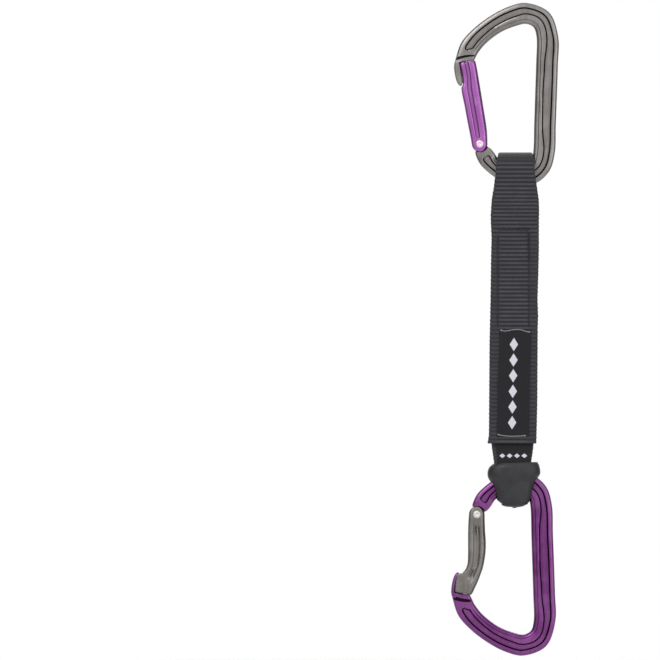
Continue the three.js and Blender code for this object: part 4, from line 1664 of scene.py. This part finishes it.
    def build_long_label(self, shop: Workshop) -> None:
        """The long black label, sewn on slightly askew.

        Args:
            shop: Where the piece is dressed and fixed.
        """
        bm = bmesh.new()
        front, back = -4.62, -3.86
        left = ((-13.8, -158.4), (-15.4, -214.0))
        right = ((2.4, -159.2), (1.3, -213.9))
        rings = []
        for k in range(56):
            share = k / 55
            z_left = blend_between(left[0][1], left[1][1], share)
            z_right = blend_between(right[0][1], right[1][1], share)
            wave = 0.12 * math.sin(share * 9.0)
            x_left = blend_between(left[0][0], left[1][0], share) + wave
            x_right = blend_between(right[0][0], right[1][0], share) + wave * 0.6
            pinch = 1 - ease(0.0, 0.012, min(share, 1 - share))
            points, painted_shade, across = [], [], []
            faces = ((True, (0.0, 0.02, 0.06, 0.1, 0.5, 0.9, 0.94, 0.98, 1.0)),
                     (False, (1.0, 0.98, 0.5, 0.02, 0.0)))
            for on_front, spans in faces:
                for s in spans:
                    edge = min(s, 1 - s)
                    proud = 0.1 * ease(0.0, 0.05, edge) * (1 - ease(0.07, 0.12, edge))
                    sink = 0.3 * (1 - ease(0.0, 0.02, edge)) + 0.25 * pinch
                    y = front - proud + sink if on_front else back
                    x, z = point_between((x_left, z_left), (x_right, z_right), s)
                    points.append(Vector((x, y, z)) * MM)
                    painted_shade.append(0.0)
                    across.append(s)
            rings.append(Ring(points, painted_shade, share, across))
        sweep(bm, rings)
        shop.fix(to_object(bm, "woven_label", 50), "sling", "black_tape", "long_label")

    def build_short_label(self, shop: Workshop) -> None:
        """The black tape wrapped over the front of the narrow strap.

        Args:
            shop: Where the piece is dressed and fixed.
        """
        bm = bmesh.new()
        path = [p for p in self.strap_path() if p[0] < 0 and -231.5 < p[1] <= -216.8]
        fine = [row for row in resample(path, 0.4) if row[0][1] > -229.2]
        near, far = 0.86, 1.32
        rings = []
        for (y, z), (dy, dz), along in fine:
            x_left, x_right = height_lookup(self.tape_left, z), height_lookup(self.tape_right, z)
            points, painted_shade, across = [], [], []
            faces = ((True, (0.0, 0.015, 0.05, 0.09, 0.5, 0.91, 0.95, 0.985, 1.0)),
                     (False, (1.0, 0.98, 0.5, 0.02, 0.0)))
            for on_front, spans in faces:
                for s in spans:
                    edge = min(s, 1 - s)
                    proud = 0.12 * ease(0.0, 0.04, edge) * (1 - ease(0.06, 0.1, edge))
                    reach = (far + proud - 0.3 * (1 - ease(0.0, 0.015, edge))) if on_front else near
                    x = blend_between(x_left, x_right, s)
                    points.append(Vector((x, y + dz * reach, z - dy * reach)) * MM)
                    painted_shade.append(0.0)
                    across.append(s)
            rings.append(Ring(points, painted_shade, along, across))
        sweep(bm, rings)
        shop.fix(to_object(bm, "wrapped_tape", 50), "sling", "short_tape", "short_label")

    def build_seams(self, shop: Workshop) -> None:
        """The sewn rows, stitch by stitch, on both faces of the sling.

        Args:
            shop: Where the pieces are dressed and fixed.
        """
        rows = {
            "seam_row_top": ((-14.5, -106.2), (1.3, -106.7), 2.6),
            "seam_row_left": ((-14.8, -109.5), (-14.9, -157.0), 2.5),
            "seam_row_right": ((1.4, -109.5), (1.3, -157.0), 2.5),
            "seam_row_bottom": ((-15.2, -215.0), (0.9, -215.2), 2.6),
        }
        for name, (start, end, pitch) in rows.items():
            bm = bmesh.new()
            length = math.dist(start, end)
            count = round(length / pitch)
            along = Vector((end[0] - start[0], 0, end[1] - start[1])).normalized()
            for k in range(count):
                share = (k + 0.5) / count
                x, z = (blend_between(a, b, share) for a, b in zip(start, end))
                sunk = 0.45 if name == "seam_row_right" and z > -123 else 0.0
                for side in Side:
                    dip = 0.05 * math.sin(k * 1.9 + side.value)
                    middle = Vector((x + dip, side.value * (self.web_y + 0.95 - sunk), z)) * MM
                    tilt = (along + Vector((0.12, 0, 0.12)) * side.value).normalized()
                    stitch(bm, middle, tilt, pitch * 0.86, 1.3 if name == "seam_row_top" else 0.8)
            shop.fix(to_object(bm, f"{name}_thread", 60), "sling", "black_thread", name)

    def build_label_stitches(self, shop: Workshop) -> None:
        """The pale rows that hold the long label on.

        Args:
            shop: Where the pieces are dressed and fixed.
        """
        rows = {
            "label_stitch_top": ((-13.4, -158.6), (-11.0, -159.2), (-7.0, -158.5), (-3.1, -158.4),
                                 (-0.6, -159.2), (2.0, -159.7)),
            "label_stitch_bottom": ((-14.8, -212.7), (-12.0, -213.3), (-7.5, -213.6), (-4.0, -213.5),
                                    (-0.2, -213.3)),
        }
        for name, line in rows.items():
            bm = bmesh.new()
            count = 11
            last = len(line) - 1
            for k in range(count):
                start = curve_at(line, last * k / count)
                end = curve_at(line, last * (k + 1) / count)
                along = Vector((end[0] - start[0], 0, end[1] - start[1]))
                middle = Vector(((start[0] + end[0]) / 2, 0, (start[1] + end[1]) / 2))
                thick = 0.58 if 0 < k < count - 1 else 0.8
                for y in (-4.72, 3.8):
                    spot = (middle + Vector((0, y, 0))) * MM
                    stitch(bm, spot, along.normalized(), along.length * 1.3, thick)
            shop.fix(to_object(bm, f"{name}_thread", 60), "sling", "grey_thread", name)


@dataclass
class Keeper:
    """The rubber keeper that holds the lower carabiner in the strap's loop."""

    left: Outline = ((-16.3, -227.6), (-17.9, -228.6), (-19.2, -229.9), (-19.9, -231.8), (-19.9, -234.4),
                     (-18.9, -236.6), (-17.5, -238.4), (-16.8, -241.0), (-16.0, -244.4), (-14.9, -246.8),
                     (-13.2, -248.2), (-12.2, -249.6), (-9.6, -250.2), (-7.4, -250.4), (-6.7, -250.9))
    right: Outline = ((5.9, -227.0), (6.6, -228.2), (7.1, -229.9), (7.4, -231.8), (7.3, -233.2),
                      (6.2, -235.0),
                      (4.9, -237.0), (4.2, -240.2), (3.5, -243.6), (2.7, -246.2), (1.4, -247.9),
                      (0.4, -249.0), (-2.2, -250.1), (-4.6, -250.5), (-5.4, -250.9))
    depth: tuple[float, ...] = (8.3, 8.9, 9.15, 9.2, 9.15, 8.75, 8.35, 8.2, 8.0, 7.75, 7.3, 6.6, 5.0, 2.6,
                                1.0)
    squareness: float = 3.4
    round_steps: int = 48
    fine: int = 4
    hollow_z: float = -240.9
    hollow_radius: float = 7.2
    hollow_top: float = -215.0
    hollow_x: tuple[float, float] = (-17.2, 3.2)
    rock: float = 15.0
    rock_centre: float = 15.5
    clearance: float = 0.35

    def rings(self) -> list[Ring]:
        """The keeper's level loops, from its rim down to its nub.

        Returns:
            The rings.
        """
        found = []
        for k in range((len(self.left) - 1) * self.fine + 1):
            station = k / self.fine
            left = curve_at(self.left, station)
            right = curve_at(self.right, station)
            i = min(int(station), len(self.depth) - 2)
            deep = blend_between(self.depth[i], self.depth[i + 1], ease(0, 1, station - i))
            ridge = 0.16 * math.sin(math.tau * (station - 9.5)) if 9.5 < station < 12.5 else 0.0
            points = []
            for n in range(self.round_steps):
                angle = math.tau * n / self.round_steps
                c, s = math.cos(angle), math.sin(angle)
                power = 2 / self.squareness
                u = math.copysign(abs(c) ** power, c)
                y = math.copysign(abs(s) ** power, s) * (deep + ridge)
                x, z = point_between(left, right, (u + 1) / 2)
                points.append(Vector((x + ridge * u, y, z)) * MM)
            found.append(Ring(points, [0.0] * self.round_steps, station))
        return found

    def build(self, shop: Workshop, lower: Carabiner) -> None:
        """The moulded collar and body, cut for the strap and the rocking bar.

        Args:
            shop: Where the piece is dressed and fixed.
            lower: The carabiner whose bar passes through it.
        """
        bm = bmesh.new()
        sweep(bm, self.rings())
        piece = to_object(bm, "keeper_moulding", 60)
        room = bmesh.new()
        r = self.hollow_radius
        hollow = arc((0, self.hollow_z), r, 180, 360, 24) + [(r, self.hollow_top), (-r, self.hollow_top)]
        sweep(room, [Ring([Vector((x, y, z)) * MM for y, z in hollow], [0.0] * len(hollow))
                     for x in self.hollow_x])
        for vert in room.verts:
            narrow = ease(-231.0 * MM, -241.0 * MM, vert.co.z)
            vert.co.x = blend_between(vert.co.x, -6.6 * MM, 0.3 * narrow)
        cutters = [room]
        pivot = Vector((0, 0, lower.pivot.z + self.rock_centre * MM))
        to_pivot = Matrix.Translation(pivot)
        for angle in (-self.rock, 0.0, self.rock):
            bar = bmesh.new()
            sweep(bar, lower.forging.plain_rings(lower.place, self.clearance))
            turn = to_pivot @ Matrix.Rotation(math.radians(angle), 4, "X") @ Matrix.Translation(-pivot)
            bmesh.ops.transform(bar, matrix=turn, verts=bar.verts[:])
            cutters.append(bar)
        cut_away(piece, cutters)
        shop.fix(piece, "sling", "moulded_rubber", "rubber_keeper")


# -------------------------------------------------------------------- stage


@dataclass
class Studio:
    """A pale floor, soft light and a long-lens camera level with the sling."""

    aim: tuple[float, float, float] = (-101.6, 0.0, -158.6)
    view_width: float = 342.0
    distance: float = 6000.0
    floor_drop: float = 14.0
    floor_radius: float = 460.0

    def build_floor(self) -> None:
        """A pale disc under the quickdraw."""
        low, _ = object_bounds()
        bm = bmesh.new()
        bmesh.ops.create_circle(bm, cap_ends=True, radius=self.floor_radius * MM, segments=96)
        bmesh.ops.translate(bm, vec=(0, 0, low.z - self.floor_drop * MM), verts=bm.verts[:])
        floor = to_object(bm, "pale_floor")
        s = Shader("pale_floor")
        tone = s.mix(s.spread(s.noise(6, 3), 0.3, 0.7), tint(240, 240, 240), tint(246, 246, 246))
        s.set(Base_Color=tone, Roughness=0.9)
        floor.data.materials.append(s.material)
        floor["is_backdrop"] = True

    def build_camera(self) -> None:
        """A camera far in front, level with the middle of the quickdraw."""
        data = bpy.data.cameras.new("studio_camera")
        data.sensor_width = 36.0
        data.lens = 36.0 * self.distance / self.view_width
        data.clip_end = 100.0
        camera = bpy.data.objects.new("studio_camera", data)
        camera.location = (Vector(self.aim) + Vector((0, -self.distance, 0))) * MM
        camera.rotation_euler = (math.pi / 2, 0, 0)
        bpy.context.scene.collection.objects.link(camera)
        bpy.context.scene.camera = camera

    def light(self, name: str, place: Sequence[float], size: Sequence[float], watts: float) -> None:
        """A soft panel that looks at the quickdraw.

        Args:
            name: Its name.
            place: Where it stands, in metres.
            size: Its width and height in metres.
            watts: Its power.
        """
        data = bpy.data.lights.new(name, "AREA")
        data.shape = "RECTANGLE"
        data.size, data.size_y = size
        data.energy = watts
        lamp = bpy.data.objects.new(name, data)
        lamp.location = place
        aim = Vector((-0.006, 0, -0.16))
        lamp.rotation_euler = (aim - Vector(place)).to_track_quat("-Z", "Y").to_euler()
        bpy.context.scene.collection.objects.link(lamp)

    def build_light(self) -> None:
        """A white room, dimmer at its sides, and three soft panels."""
        world = bpy.data.worlds.new("white_room")
        bpy.context.scene.world = world
        world.use_nodes = True
        tree = world.node_tree
        background = tree.nodes["Background"]
        where = tree.nodes.new("ShaderNodeTexCoord")
        split = tree.nodes.new("ShaderNodeSeparateXYZ")
        tree.links.new(where.outputs["Generated"], split.inputs[0])
        ramp = tree.nodes.new("ShaderNodeMapRange")
        ramp.interpolation_type = "SMOOTHSTEP"
        side = tree.nodes.new("ShaderNodeMath")
        side.operation = "ABSOLUTE"
        tree.links.new(split.outputs[0], side.inputs[0])
        tree.links.new(side.outputs[0], ramp.inputs["Value"])
        for name, number in (("From Min", 0.25), ("From Max", 0.95), ("To Min", 0.95), ("To Max", 0.3)):
            ramp.inputs[name].default_value = number
        path = tree.nodes.new("ShaderNodeLightPath")
        pick = tree.nodes.new("ShaderNodeMix")
        pick.data_type = "FLOAT"
        tree.links.new(path.outputs["Is Camera Ray"], pick.inputs[0])
        tree.links.new(ramp.outputs[0], pick.inputs[2])
        pick.inputs[3].default_value = 1.0
        background.inputs["Color"].default_value = (1, 1, 1, 1)
        tree.links.new(pick.outputs[0], background.inputs["Strength"])
        self.light("key_panel", (-0.9, -1.6, 0.9), (1.0, 1.0), 16)
        self.light("fill_panel", (1.2, -1.4, 0.1), (0.9, 1.2), 7)
        self.light("back_panel", (0.2, 1.6, 0.8), (1.2, 0.8), 9)
        bpy.context.scene.view_settings.view_transform = "Standard"

    def build(self) -> None:
        """Builds the whole stage."""
        self.build_floor()
        self.build_camera()
        self.build_light()


def main() -> None:
    """Builds every sub-assembly in order."""
    logging.basicConfig(level=logging.INFO, format="%(message)s")
    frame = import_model()
    shop = Workshop(frame["nodes"])
    upper = Carabiner("top", "grey_anodised", "violet_anodised", "rosy_rivet", Gate(GateStyle.STRAIGHT),
                      False)
    lower = Carabiner("bottom", "purple_anodised", "gunmetal_anodised", "rivet_steel",
                      Gate(GateStyle.BENT), True, Forging(nose_face=42.15))
    upper.build(shop)
    lower.build(shop)
    sling = Sling()
    sling.build_webbing(shop)
    sling.build_strap(shop)
    sling.build_long_label(shop)
    sling.build_short_label(shop)
    sling.build_seams(shop)
    sling.build_label_stitches(shop)
    Keeper().build(shop, lower)
    Studio().build()


if __name__ == "__main__":
    main()
